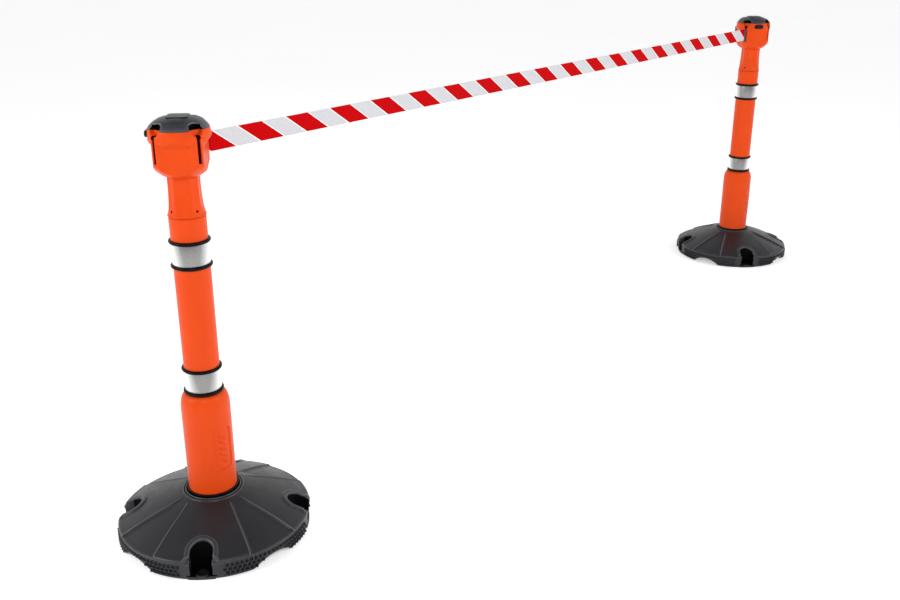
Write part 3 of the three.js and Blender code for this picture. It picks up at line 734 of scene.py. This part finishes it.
def notch_tools():
    """What is cut out of the body: notches with flared mouths, lifting arches, dots and the bolt hole."""
    arc = [(NOTCH_END + NOTCH_HALF * (1 - math.sin(math.radians(t))),
            -NOTCH_HALF * math.cos(math.radians(t))) for t in range(0, 181, 6)]
    outline = [(260, -NOTCH_HALF), *arc, (260, NOTCH_HALF)]
    flare = [(MOUTH_START - 8, -NOTCH_HALF), (250, -50), (250, 50), (MOUTH_START - 8, NOTCH_HALF)]
    arch_radius = (ARCH_HALF**2 + ARCH_RISE**2) / (2 * ARCH_RISE)
    dot = CREASE_DOT["radius"]
    tools = []
    for face, corner in zip(FACES, CORNERS):
        tools.append(turned_by(prism(outline, NOTCH_FLOOR - 0.5, 130), face))
        tools.append(turned_by(prism(flare, NOTCH_FLOOR - 0.5, NOTCH_FLOOR + 4), face))
        arch = radial_bar(arch_radius, ARCH_INNER, 260, ARCH_RISE - arch_radius, 240)
        tools.append(turned_by(arch, corner))
        for side in (-1, 1):
            pit = moved_by(cylinder(dot, 106, 125, 16), CREASE_DOT["place"])
            tools.append(turned_by(pit, corner + side * CREASE_DOT["turn"]))
    tools.append(cylinder(BOLT_RECESS, -5, 9, 32))
    tools.append(cylinder(BOLT_HOLE, -5, 25, 24))
    return tools


def eye_recess():
    """The round recess in each notch floor, as a tool."""
    return moved_by(cylinder(EYE_RADIUS - 2.2, EYE_FLOOR, 30), EYE_PLACE)


def notch_plate():
    """The floor of a notch: a plate with a rounded front edge, and the ringed recess in it."""
    swings = np.radians(range(-8, 9))
    front = [(MOUTH_FRONT * math.cos(t), MOUTH_FRONT * math.sin(t)) for t in swings]
    start = MOUTH_START - 10
    outline = [(start, -NOTCH_HALF), *front, (start, NOTCH_HALF), (210, NOTCH_HALF), (210, -NOTCH_HALF)]
    shrunk = [(x - 1.6 * (x > start + 1), y * 0.97) for x, y in outline]
    layers = [(outline, 0.6), (outline, NOTCH_FLOOR - 1.4), (shrunk, NOTCH_FLOOR)]
    rim = revolve("rim", rounded([
        (0, 2), (EYE_RADIUS + 2.6, 2), (EYE_RADIUS + 2.6, 9.2), (EYE_RADIUS + 1.6, 10.2),
        (EYE_RADIUS - 1.2, 10.2), (EYE_RADIUS - 2, 9), (0, 9),
    ], 0.8, 3), 64)
    plate = carve(stacked("plate", layers, upwards, 20), [moved_by(rim, EYE_PLACE)], "UNION")
    return carve(plate, [eye_recess()])


def base_mesh():
    carved = carve(base_body(), notch_tools())
    plates = [turned_by(notch_plate(), face) for face in FACES]
    carved = carve(carved, [rim_studs(), joined("plates", plates)], "UNION")
    return carve(carved, [joined("recesses", [turned_by(eye_recess(), face) for face in FACES])], sharp=32)


def inside_notch(x, y, z):
    """The walls and floor of a notch, which lie in deep shade; the shade is painted on them."""
    radius = math.hypot(x, y)
    return NOTCH_FLOOR - 1 < z and radius < MOUTH_START - 3 and notch_gap(x, y) < 0.25 and z < 62


def seal_mesh():
    """The black ring that closes the gap round the foot of the sleeve."""
    profile = rounded([
        (60.95, 106.4), (64.4, 106.4), (64.4, 124.5), (63.4, 126.7), (60.95, 126.9), (60.95, 106.4),
    ], 0.9, 3)
    return revolve("seal", profile[:-1], 160, True)


# ---------------------------- post


def label_gap(across, up, width, tall, corner):
    """Distance from a point to a rounded rectangle's edge; negative inside."""
    x = np.abs(across) - (width / 2 - corner)
    y = np.abs(up) - (tall / 2 - corner)
    return np.hypot(np.maximum(x, 0), np.maximum(y, 0)) + np.minimum(np.maximum(x, y), 0) - corner


def label_relief(radius, height, azimuth):
    """The sleeve's sunken panel, with a plain row of slanted raised bars in it."""
    across = np.radians((azimuth - LABEL["azimuth"] + 180) % 360 - 180) * SLEEVE_RADIUS
    up = height - LABEL["middle"]
    gap = label_gap(across, up, LABEL["width"], LABEL["height"], LABEL["corner"])
    panel = -LABEL["depth"] * (1 - smoothstep(-1.6, 0, gap))
    rim = 0.35 * hump(gap, 1.2, 1.4)
    slanted = (up + 0.55 * across + 40) % 16 - 8
    inside = label_gap(across, up, 24, 84, 6)
    bars = 2.0 * (1 - smoothstep(2.2, 3.4, np.abs(slanted))) * (1 - smoothstep(-2, 0, inside))
    return np.where(radius > SLEEVE_RADIUS - 0.1, panel + rim + bars, 0)


def post_mesh():
    azimuth = np.arange(432) * 360 / 432
    shoulder = [(TUBE_RADIUS + (SLEEVE_RADIUS - TUBE_RADIUS) * math.cos(math.radians(t)),
                 SHOULDER_FOOT + (SHOULDER_TOP - SHOULDER_FOOT) * math.sin(math.radians(t)))
                for t in range(5, 90, 5)]
    panel = [(SLEEVE_RADIUS, h) for h in np.arange(184, 310, 1.0)]
    top = rounded([
        (TUBE_RADIUS, TUBE_TOP - 6), (TUBE_RADIUS, TUBE_TOP), (SPIGOT_RADIUS, TUBE_TOP),
        (SPIGOT_RADIUS, SPIGOT_TOP), (26.5, SPIGOT_TOP), (26.5, 840), (40, 840), (40, SHOULDER_TOP),
        (57, SHOULDER_FOOT), (57, SLEEVE_FOOT), (SLEEVE_RADIUS, SLEEVE_FOOT),
    ], 1.2, 2)
    profile = [(SLEEVE_RADIUS, 130), *panel, (SLEEVE_RADIUS, 330), (SLEEVE_RADIUS, SHOULDER_FOOT), *shoulder]
    profile += [(TUBE_RADIUS, SHOULDER_TOP + 0.5), (TUBE_RADIUS, 600), *top[:-1]]
    body = raised_ring("post", profile, azimuth, label_relief)
    holes = [
        turned_by(radial_bar(NECK_SCREW["hole"], 20, 50, NECK_SCREW["height"]), corner) for corner in CORNERS
    ]
    return carve(body, holes)


def ring_mesh():
    """A rubber ring, flattened a little where it grips the tube."""
    profile = []
    for i in range(20):
        swing = math.radians(18 * i)
        reach = RING_RADIUS + RING_SECTION * math.cos(swing)
        profile.append((max(reach, TUBE_RADIUS + 0.1), RING_SECTION * 0.98 * math.sin(swing)))
    return revolve("rubber_ring", profile, 128, True, 60)


def band_mesh(low, high):
    """A wrapped strip of sheeting, with its overlap showing as a thin upright step."""
    azimuth = np.arange(240) * 1.5
    profile = [(43.9, low), (44.5, low), (44.8, low + 1.2), (44.8, high - 1.2), (44.5, high), (43.9, high)]

    def overlap(radius, height, azimuth):
        step = 1 - smoothstep(0, 1.2, azimuth) + smoothstep(335, 359, azimuth)
        return np.where(radius > 44.2, 0.35 * step, 0)

    return raised_ring("reflective_band", profile, azimuth, overlap)


# ---------------------------- head housing

CHIN_CONE = (
    (CHIN, 42), (943.5, 46.5), (947, 51.5), (954, 59.6), (961, 66.4), (967.5, 71.2), (977, 77), (992, 88),
    (RIM, 140),
)
RIM_CURVE = ((1000, VISOR_RADIUS), (1037, VISOR_RADIUS), (1044, 70.3), (RIM, 68.6))
NECK_FACE = (
    (845, 44), (850, 41.8), (860, 38.9), (870, 37.4), (880, 36.3), (895, 35.5), (912, 35.1), (937, 34.9),
)
NECK_CORNER = (
    (845, 44), (850, 43.2), (860, 41.6), (870, 40.4), (880, 39.4), (895, 38.5), (912, 38.1), (937, 37.8),
)


def section(azimuth, face, corner, sharpness):
    """A square with cut corners, as a radius over azimuth."""
    off_face = np.radians(np.abs(off_azimuth(azimuth, 45)))
    off_corner = math.pi / 4 - off_face
    flat = face / np.cos(off_face)
    chamfer = corner / np.cos(off_corner)
    return (flat**-sharpness + chamfer**-sharpness) ** (-1 / sharpness)


def column_relief(azimuth, height, radius):
    """Rounds the lips of each corner slit and dishes the wall above it."""
    across = np.abs(radius * np.sin(np.radians(off_azimuth(azimuth, 0))))
    below = np.maximum(SLIT_LOW - height, 0)
    near_slit = np.hypot(np.maximum(across - SLIT / 2, 0), below)
    lips = edge_drop(near_slit, 3.0, 3.0) * smoothstep(SLIT_LOW - 4, SLIT_LOW, height)
    scoop = np.hypot(across, height - SCOOP_HEIGHT) - SCOOP_RADIUS
    return -lips - edge_drop(scoop, 5.0, 5.0)


def button_dish(azimuth, height, radius):
    """Flattens the wall round the button into a shallow oval dish with a raised edge."""
    off = np.radians((azimuth - BUTTON["azimuth"] + 180) % 360 - 180)
    ahead = np.cos(off) > 0.5
    across = np.where(ahead, radius * np.sin(off), 200)
    up = height - BUTTON["height"]
    gap = label_gap(across, up, BUTTON_DISH["width"], BUTTON_DISH["tall"], BUTTON_DISH["tall"] / 2)
    floor = BUTTON_DISH["floor"] / np.maximum(np.cos(off), 0.5)
    share = 1 - smoothstep(-3, 0.5, gap)
    rim = 0.7 * hump(gap, 1.8, 1.7)
    return share * np.minimum(floor - radius, 0) + rim


def visor_radius(azimuth, height):
    """The overhang: flat chamfers that rise outwards from each face, up to a round wall."""
    off_face = np.radians(np.abs(off_azimuth(azimuth, 45)))
    across = FACE_DISTANCE * np.tan(off_face)
    foot = VISOR_FOOT + 12 * smoothstep(22, 44, across)
    chamfer = (FACE_DISTANCE + VISOR_SLOPE * (height - foot)) / np.cos(off_face)
    return soft_min(chamfer, curve_through(RIM_CURVE, height), 3.5)


def housing_radius(azimuth, height):
    across = FACE_DISTANCE * np.tan(np.radians(np.abs(off_azimuth(azimuth, 45))))
    slope = soft_max((across - PANEL_HALF) / (COLUMN_START - PANEL_HALF), 0, 0.25)
    face = FACE_DISTANCE + COLUMN_LIFT * soft_min(slope, 1, 0.2)
    body = section(azimuth, face, COLUMN_RADIUS, 70)
    cone = curve_through(CHIN_CONE, height)
    outside = soft_min(soft_max(body, visor_radius(azimuth, height), 0.9), cone, 1.4)
    return outside + column_relief(azimuth, height, outside) + button_dish(azimuth, height, outside)


def neck_radius(azimuth, height):
    """Four flat faces and four cut corners, each a little hollow, running out into a round foot."""
    face = curve_through(NECK_FACE, height)
    corner = curve_through(NECK_CORNER, height)
    round_share = 1 - smoothstep(850, 882, height)
    hollow = 1.5 * hump(off_azimuth(azimuth, 45), 0, 15) + 0.7 * hump(off_azimuth(azimuth, 0), 0, 8)
    bead_ring = 1.5 * hump(height, 847.6, 1.4)
    square = section(azimuth, face, corner, 60) - hollow
    return square * (1 - round_share) + corner * round_share + bead_ring


def housing_body():
    azimuth = np.arange(800) * 0.45
    neck_heights = np.concatenate([
        [845, 845.4, 846], np.arange(846.8, 852, 0.8), np.arange(853, CHIN, 2.0), [CHIN - 0.6],
    ])
    head_heights = np.concatenate([
        np.arange(CHIN + 1.5, 970, 1.0), np.arange(970, 982, 1.0), np.arange(982, 1004, 3.0),
        np.arange(1004, RIM - 1.2, 0.8), [RIM - 0.8, RIM - 0.2],
    ])
    neck = neck_radius(azimuth[None, :], neck_heights[:, None])
    foot_edge = np.clip((847 - neck_heights) / 2, 0, 1)[:, None]
    neck = neck - 1.6 * foot_edge**2
    head = housing_radius(azimuth[None, :], head_heights[:, None])
    rim_edge = np.clip((head_heights - (RIM - 1.2)) / 1.2, 0, 1)[:, None]
    head = head - 1.0 * rim_edge**2
    under = np.array([CHIN - 0.1, CHIN, CHIN + 0.5])[:, None]
    shelf = np.stack([neck[-1] + 0.8, np.full(len(azimuth), 39.5), np.full(len(azimuth), 41.4)])
    radius = np.vstack([neck, shelf, head])
    height = np.vstack([neck_heights[:, None], under, head_heights[:, None]])
    return capped_grid("head_housing", radius, height, azimuth)


def housing_mesh():
    above = RIM + 10
    tools = [
        cylinder(CAVITY_RADIUS, 973, above, 96),                      # the well of the reel
        cylinder(33, 948, 980, 64),                                   # the cup of the mainspring
        cylinder(BOLT_HOLE, 929.7, 950, 32),
        cylinder(SPIGOT_RADIUS + 0.3, 840, SPIGOT_TOP + 2, 64),
    ]
    for corner in CORNERS:
        hole = radial_bar(NECK_SCREW["hole"], 20, 41, NECK_SCREW["height"], 24)
        counterbore = radial_bar(NECK_SCREW["head_hole"], 35.5, 60, NECK_SCREW["height"], 24)
        scoop = radial_bar(SCOOP_RADIUS, SCOOP_BACK, OUTSIDE, SCOOP_HEIGHT, 64)
        channel = moved_by(cylinder(CHANNEL_RADIUS, SLIT_LOW, above, 32), CHANNEL_PLACE)
        back = block(CHANNEL_BACK, CHANNEL_PLACE, SLIT, SLIT_LOW, SCOOP_HEIGHT - SCOOP_RADIUS - 1)
        slit = block(CHANNEL_PLACE, OUTSIDE, SLIT, SLIT_LOW, above)
        keyhole = radial_bar(KEYHOLE["radius"], SCOOP_BACK + 1, OUTSIDE, KEYHOLE["height"], 40)
        if corner == 0:
            slit = block(58, OUTSIDE, 12, SLIT_LOW, TAPE_HIGH + 3)
            channel = block(CAVITY_RADIUS - 5, 59, SLIT, SLIT_LOW, TAPE_HIGH + 3)
        cuts = (hole, counterbore, keyhole, scoop, channel, slit, back)
        tools += [turned_by(tool, corner) for tool in cuts]
    place = outwards(BUTTON["height"])
    window = prism(stadium(BUTTON["width"] + 1.2, BUTTON["tall"] + 1.2), 39, OUTSIDE, place)
    pocket = prism(stadium(45, 22), 39, 55.3, place)
    tools += [turned_by(tool, BUTTON["azimuth"]) for tool in (window, pocket)]
    return carve(housing_body(), tools, sharp=40)


def inside_slit(x, y, z):
    """The inner walls of the corner slits and channels, which get the painted shade of the slits."""
    out, across = max(abs(x), abs(y)), min(abs(x), abs(y))
    deep = SLIT_LOW - 0.5 < z < SCOOP_HEIGHT - SCOOP_RADIUS + 3
    return across < KEYHOLE["radius"] + 0.2 and CAVITY_RADIUS < out < 69.8 and deep


# ---------------------------- cap, pad and button


def cap_height(radius, azimuth):
    """The dome with its crease and front wall, and the raised brow round each notch."""
    dome = curve_through((
        (0, 1075.9), (22, 1075.6), (34, 1073.9), (43, 1071.0), (50, 1068.0), (55.5, 1065.2), (57, 1064.2),
        (58.6, 1062.8), (62, 1059.8), (65.6, 1056.0), (67.8, 1053.0), (69, 1051),
    ), radius)
    crease = 0.7 * hump(radius, 57.2, 0.9)
    swing = np.radians(off_azimuth(azimuth, 0))
    notch = np.hypot(radius * np.cos(swing) - CAP_NOTCH_PLACE, radius * np.sin(swing)) - CAP_NOTCH_RADIUS
    crown = np.clip(1 - ((notch - 5.0) / 4.4) ** 2, 0, 1) ** 0.5
    brow = 1.7 * crown * smoothstep(67, 56, radius)
    return dome - crease * smoothstep(9, 12, notch) + brow - edge_drop(notch, 3.2, 3.0)


def cap_mesh():
    azimuth = np.arange(720) * 0.5
    under = np.array([
        (6.3, 1064), (6.3, CAP_FOOT), (11, CAP_FOOT), (11, 1064), (44, 1064), (44, 1046.3), (46, 1046.3),
        (46, CAP_FOOT), (68.2, CAP_FOOT), (68.9, CAP_FOOT + 0.2),
    ])
    dome = np.concatenate([np.linspace(68.9, 66, 12), np.linspace(65.6, 4, 130)])
    radius = np.concatenate([under[:, 0], dome])[:, None]
    height = np.maximum(cap_height(radius, azimuth[None, :]), CAP_FOOT + 0.3)
    height[:len(under)] = under[:, 1:]
    body = capped_grid("top_cap", radius, height, azimuth, 30)
    reach, spread = CAP_UNDERCUT["radius"], CAP_UNDERCUT["spread"]
    swings = np.radians(range(spread, -spread - 1, -5))
    arc = [(CAP_NOTCH_PLACE - reach * math.cos(t), reach * math.sin(t)) for t in swings]
    tools = []
    for corner in CORNERS:
        notch = moved_by(cylinder(CAP_NOTCH_RADIUS, 1000, 1100, 96), CAP_NOTCH_PLACE)
        undercut = prism(arc, CAP_UNDERCUT["low"], CAP_UNDERCUT["high"])
        tools += [turned_by(tool, corner) for tool in (notch, block(**CAP_NICHE), undercut)]
    tools += [cylinder(3, 1000, 1100, 24), cylinder(6.5, 1072.4, 1100, 32)]
    return carve(body, tools, sharp=28)


def inside_cap_notch(x, y, z):
    """The walls of the cap's notches, and the niche behind each, below the dome, where the shade is painted
    on.
    """
    radius = math.hypot(x, y)
    out, across = max(abs(x), abs(y)), min(abs(x), abs(y))
    notch = math.hypot(out - CAP_NOTCH_PLACE, across) - CAP_NOTCH_RADIUS
    behind = notch < 15 and across < 20 and radius < 60
    in_niche = behind and z < min(CAP_NICHE["z_high"] + 0.1, cap_height(radius, 45) - 3)
    return CAP_FOOT + 0.1 < z < 1075 and (notch < 0.12 or in_niche)


def pad_mesh():
    outline = stadium(2 * PAD_HALF, 2 * PAD_HALF, PAD_CORNER)
    return turned_by(stacked("cap_pad", bead(outline, 1076.0, 1077.0, 0.7), upwards, 50), 45)


def button_mesh():
    outline = stadium(BUTTON["width"], BUTTON["tall"])
    place = outwards(BUTTON["height"])
    body = stacked("lock_button", bead(outline, 52, BUTTON["front"], 3.2, 6), place, 50)
    flange = prism(stadium(43, 20), 52, 55, place)
    tongue = block(43.5, 53, 10, 1029.5, 1033.5)
    return turned_by(carve(body, [flange, tongue], "UNION", 40), BUTTON["azimuth"])


def screw_mesh():
    """A neck screw along +X, with a hexagon socket in its head."""
    start, neck, end = NECK_SCREW["start"], NECK_SCREW["neck"], NECK_SCREW["end"]
    profile = [(0, start), (2.5, start), (2.5, neck), (3.2, neck), (3.2, end), (0, end)]
    body = revolve("neck_screw", rounded(profile, 0.4, 3), 32)
    socket = revolve("tool", [(0, 37.5), (1.7, 37.5), (1.7, 45), (0, 45)], 6)
    return laid_along_x(carve(body, [socket]), NECK_SCREW["height"])


# ---------------------------- tape and clips


def strip_mesh(name, route, low, high, rows=6):
    """An upright strip along plan points, thickest at its woven edges."""
    route = np.array(route, float)
    along = np.gradient(route, axis=0)
    along = along / np.linalg.norm(along, axis=1, keepdims=True)
    side = np.stack([-along[:, 1], along[:, 0]], axis=1)
    heights = np.linspace(low, high, rows)
    edge = np.abs(heights - (low + high) / 2) / ((high - low) / 2)
    half = TAPE_THICK / 2 * (0.8 + 0.2 * (edge > 0.9))
    points = []
    for point, across in zip(route, side):
        for height, thick in zip(heights, half):
            points.append((*(point + across * thick), height))
        for height, thick in zip(heights[::-1], half[::-1]):
            points.append((*(point - across * thick), height))
    columns = 2 * rows
    faces = ring_faces(len(route), columns)
    last = (len(route) - 1) * columns
    for row in range(rows - 1):
        mate = columns - 1 - row
        faces.append((row + 1, row, mate, mate - 1))
        faces.append((last + row, last + row + 1, last + mate - 1, last + mate))
    return make_mesh(name, points, faces, 30)


def tape_route():
    """From the roll of unit a, round the guide in its exit, and straight across to the far clip."""
    swing = math.acos(ROLL_RADIUS / GUIDE_PLACE)
    leave = np.array([ROLL_RADIUS * math.cos(swing), ROLL_RADIUS * math.sin(swing)])
    bend = np.array([GUIDE_PLACE, 0.0])
    inward = (leave - bend) / np.linalg.norm(leave - bend)
    start, end = bend + 4 * inward, bend + np.array([4.0, 0.0])
    arc = [(1 - t) ** 2 * start + 2 * t * (1 - t) * bend + t * t * end for t in np.linspace(0, 1, 7)]
    straight = [np.array([x, 0.0]) for x in np.arange(80, 2900, 60)]
    clip_face = POST_X["b"] - POST_X["a"] - CLIP["bar"] - CLIP["bar_radius"] - 0.3
    route = [leave, (leave + start) / 2, *arc, *straight, np.array([clip_face, 0.0])]
    return [(POST_X["a"] + x, y) for x, y in route]


def clip_mesh():
    """The clip: a round bar outside the slit, a web through it, and a pin in the channel."""
    low, high = CLIP["low"], CLIP["high"]
    rods = []
    for name in ("bar", "pin"):
        radius = CLIP[name + "_radius"]
        profile = rounded([(0, low), (radius, low), (radius, high), (0, high)], 1.2, 4)
        rods.append(moved_by(revolve("tape_clip", profile, 32), CLIP[name]))
    bar, pin = rods
    web = block(CLIP["pin"], CLIP["bar"] + 0.1, 2.6, low + 0.6, high - 0.6)
    return carve(bar, [pin, web], "UNION", sharp=40)


# ---------------------------- building the barrier

BASE_MESH = base_mesh()
SEAL_MESH = seal_mesh()
POST_MESH = post_mesh()
RING_MESH = ring_mesh()
HOUSING_MESH = housing_mesh()
CAP_MESH = cap_mesh()
PAD_MESH = pad_mesh()
BUTTON_MESH = button_mesh()
SCREW_MESH = screw_mesh()
BAND_MESHES = [
    band_mesh(RING_HEIGHTS[lower] + 4.8, RING_HEIGHTS[lower + 1] - 4.8) for lower in (0, 2)
]

# Which faces of each mesh get its painted shade.
INSIDE = {BASE_MESH.name: inside_notch, HOUSING_MESH.name: inside_slit, CAP_MESH.name: inside_cap_notch}

for unit in ("a", "b"):
    head = HEAD_TURN[unit]
    add_piece(f"rubber_base_{unit}", BASE_MESH, (RUBBER, PAINTED_DEEP_SHADE), [f"base_{unit}"],
              unit, BASE_TURN)
    add_piece(f"foot_seal_{unit}", SEAL_MESH, RING_RUBBER, [f"rubber_seal_{unit}"], unit)
    add_piece(f"orange_post_{unit}", POST_MESH, ORANGE, [f"post_{unit}"], unit)
    for i, ring_height in enumerate(RING_HEIGHTS, 1):
        node = f"rubber_ring_{unit}_{i}"
        ring = add_piece(f"o_ring_{unit}_{i}", RING_MESH, RING_RUBBER, [node])
        ring.matrix_world = Matrix.Translation((POST_X[unit] * MM, 0, ring_height * MM))
    for i, band in enumerate(BAND_MESHES, 1):
        node = f"reflective_band_{unit}_{i}"
        add_piece(f"silver_band_{unit}_{i}", band, REFLECTIVE, [node], unit)
    head_nodes = [f"head_housing_{unit}", f"head_neck_{unit}"]
    add_piece(f"housing_{unit}", HOUSING_MESH, (ORANGE, PAINTED_SLIT_SHADE), head_nodes,
              unit, head)
    add_piece(f"domed_cap_{unit}", CAP_MESH, (BLACK, PAINTED_DEEP_SHADE), [f"top_cap_{unit}"],
              unit, head)
    add_piece(f"badge_plate_{unit}", PAD_MESH, PAD_GREY, [f"cap_pad_{unit}"], unit, head)
    add_piece(f"oval_button_{unit}", BUTTON_MESH, BUTTON_BLACK, [f"lock_button_{unit}"],
              unit, head, f"button_{unit}")
    for i, corner in enumerate(CORNERS, 1):
        add_piece(f"socket_screw_{unit}_{i}", SCREW_MESH, SCREW_STEEL, [f"neck_screw_{unit}_{i}"],
                  unit, corner + head)

tape = add_piece("stretched_tape", strip_mesh("stretched_tape", tape_route(), TAPE_LOW, TAPE_HIGH),
                 STRIPED_TAPE, ["tape_a", "tape_lead_a"], body="tape")
CLIP_MESH = clip_mesh()
add_piece("hooked_clip", CLIP_MESH, BLACK, ["tape_clip_a"], "b", 180, "tape")
add_piece("parked_clip", CLIP_MESH, BLACK, ["tape_clip_b"], "b", HEAD_TURN["b"],
          "parked_clip")

# Hidden CAD pieces keep their shape and get a finish of their own.
CAD_FINISH = {
    "base_bolt": STEEL, "post_plug": BLACK, "cap_screw": STEEL, "reel": NYLON, "reel_shaft": STEEL,
    "tape_roll": ROLLED_TAPE, "mainspring": SPRING_STEEL, "spring_cup": NYLON, "button_spring": SPRING_STEEL,
}
for node_name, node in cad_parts.items():
    kind = node_name.rsplit("_", 1)[0]
    finish = CAD_FINISH.get(kind)
    if node_name == "tape_stub_b":
        finish = ROLLED_TAPE
    if finish is not None:
        node.data.materials.clear()
        node.data.materials.append(finish)

# ---------------------------- camera, floor and light

CAMERA_PLACE = Vector((-2.835, -1.936, 1.506))
CAMERA_TILT = 68.93
CAMERA_TURN = -49.70
CAMERA_LENS = 40.41
camera_data = bpy.data.cameras.new("camera")
camera_data.lens = CAMERA_LENS
camera_data.sensor_width = 36
camera = new_object("camera", camera_data)
camera.location = CAMERA_PLACE
camera.rotation_euler = (math.radians(CAMERA_TILT), 0, math.radians(CAMERA_TURN))
bpy.context.scene.camera = camera


def pale_floor():
    """A broad pale floor, lifted towards white so that it meets the backdrop."""
    nodes = Nodes("pale_floor")
    tone = nodes.mix(nodes.range(nodes.noise(0.6, 2), 0, 1), (0.95, 0.95, 0.95), (0.97, 0.97, 0.97))
    nodes.finish(tone, 0.9, Specular_IOR_Level=0.1, Emission_Color=(1, 1, 1), Emission_Strength=0.42)
    half = 30000
    mesh = block(-half, half, 2 * half, -20, -0.3)
    mesh.materials.append(nodes.owner)
    floor = new_object("floor", mesh)


def studio_world():
    """A white room, dimmer on the side the picture is taken from and towards its ceiling."""
    nodes = Nodes("studio", bpy.data.worlds, "Background")
    outlook = nodes.coordinates["Generated"]
    front = Vector((CAMERA_PLACE.x + 0.9, CAMERA_PLACE.y, 0.25)).normalized()
    towards = nodes.add("ShaderNodeVectorMath", {0: outlook, 1: front}, operation="DOT_PRODUCT")
    smooth = {"interpolation_type": "SMOOTHSTEP"}
    side = nodes.range(towards.outputs["Value"], 1.0, 0.22, 0.2, 0.9, **smooth)
    ceiling = nodes.range(nodes.axes(outlook)["Z"], 1.0, 0.40, 0.4, 0.9, **smooth)
    nodes.feed(nodes.shader.inputs["Strength"], nodes.times(side, ceiling))
    nodes.feed(nodes.shader.inputs["Color"], (1, 1, 1))
    bpy.context.scene.world = nodes.owner


def soft_light(name, place, target, size, power):
    data = bpy.data.lights.new(name, "AREA")
    data.shape = "DISK"
    data.size = size
    data.energy = power
    light = new_object(name, data)
    light.location = place
    light.rotation_euler = (Vector(target) - Vector(place)).to_track_quat("-Z", "Y").to_euler()


pale_floor()
studio_world()
soft_light("left_softbox", (-5.0, 1.2, 2.6), (-1.2, 0, 0.7), 1.6, 65)
soft_light("right_softbox", (1.0, -4.0, 2.8), (-0.6, 0, 0.6), 1.8, 65)
soft_light("front_softbox", (-4.0, -3.4, 3.6), (-1.0, 0, 0.3), 1.0, 75)
bpy.context.scene.view_settings.view_transform = "Standard"
bpy.context.scene.view_settings.exposure = 0.0
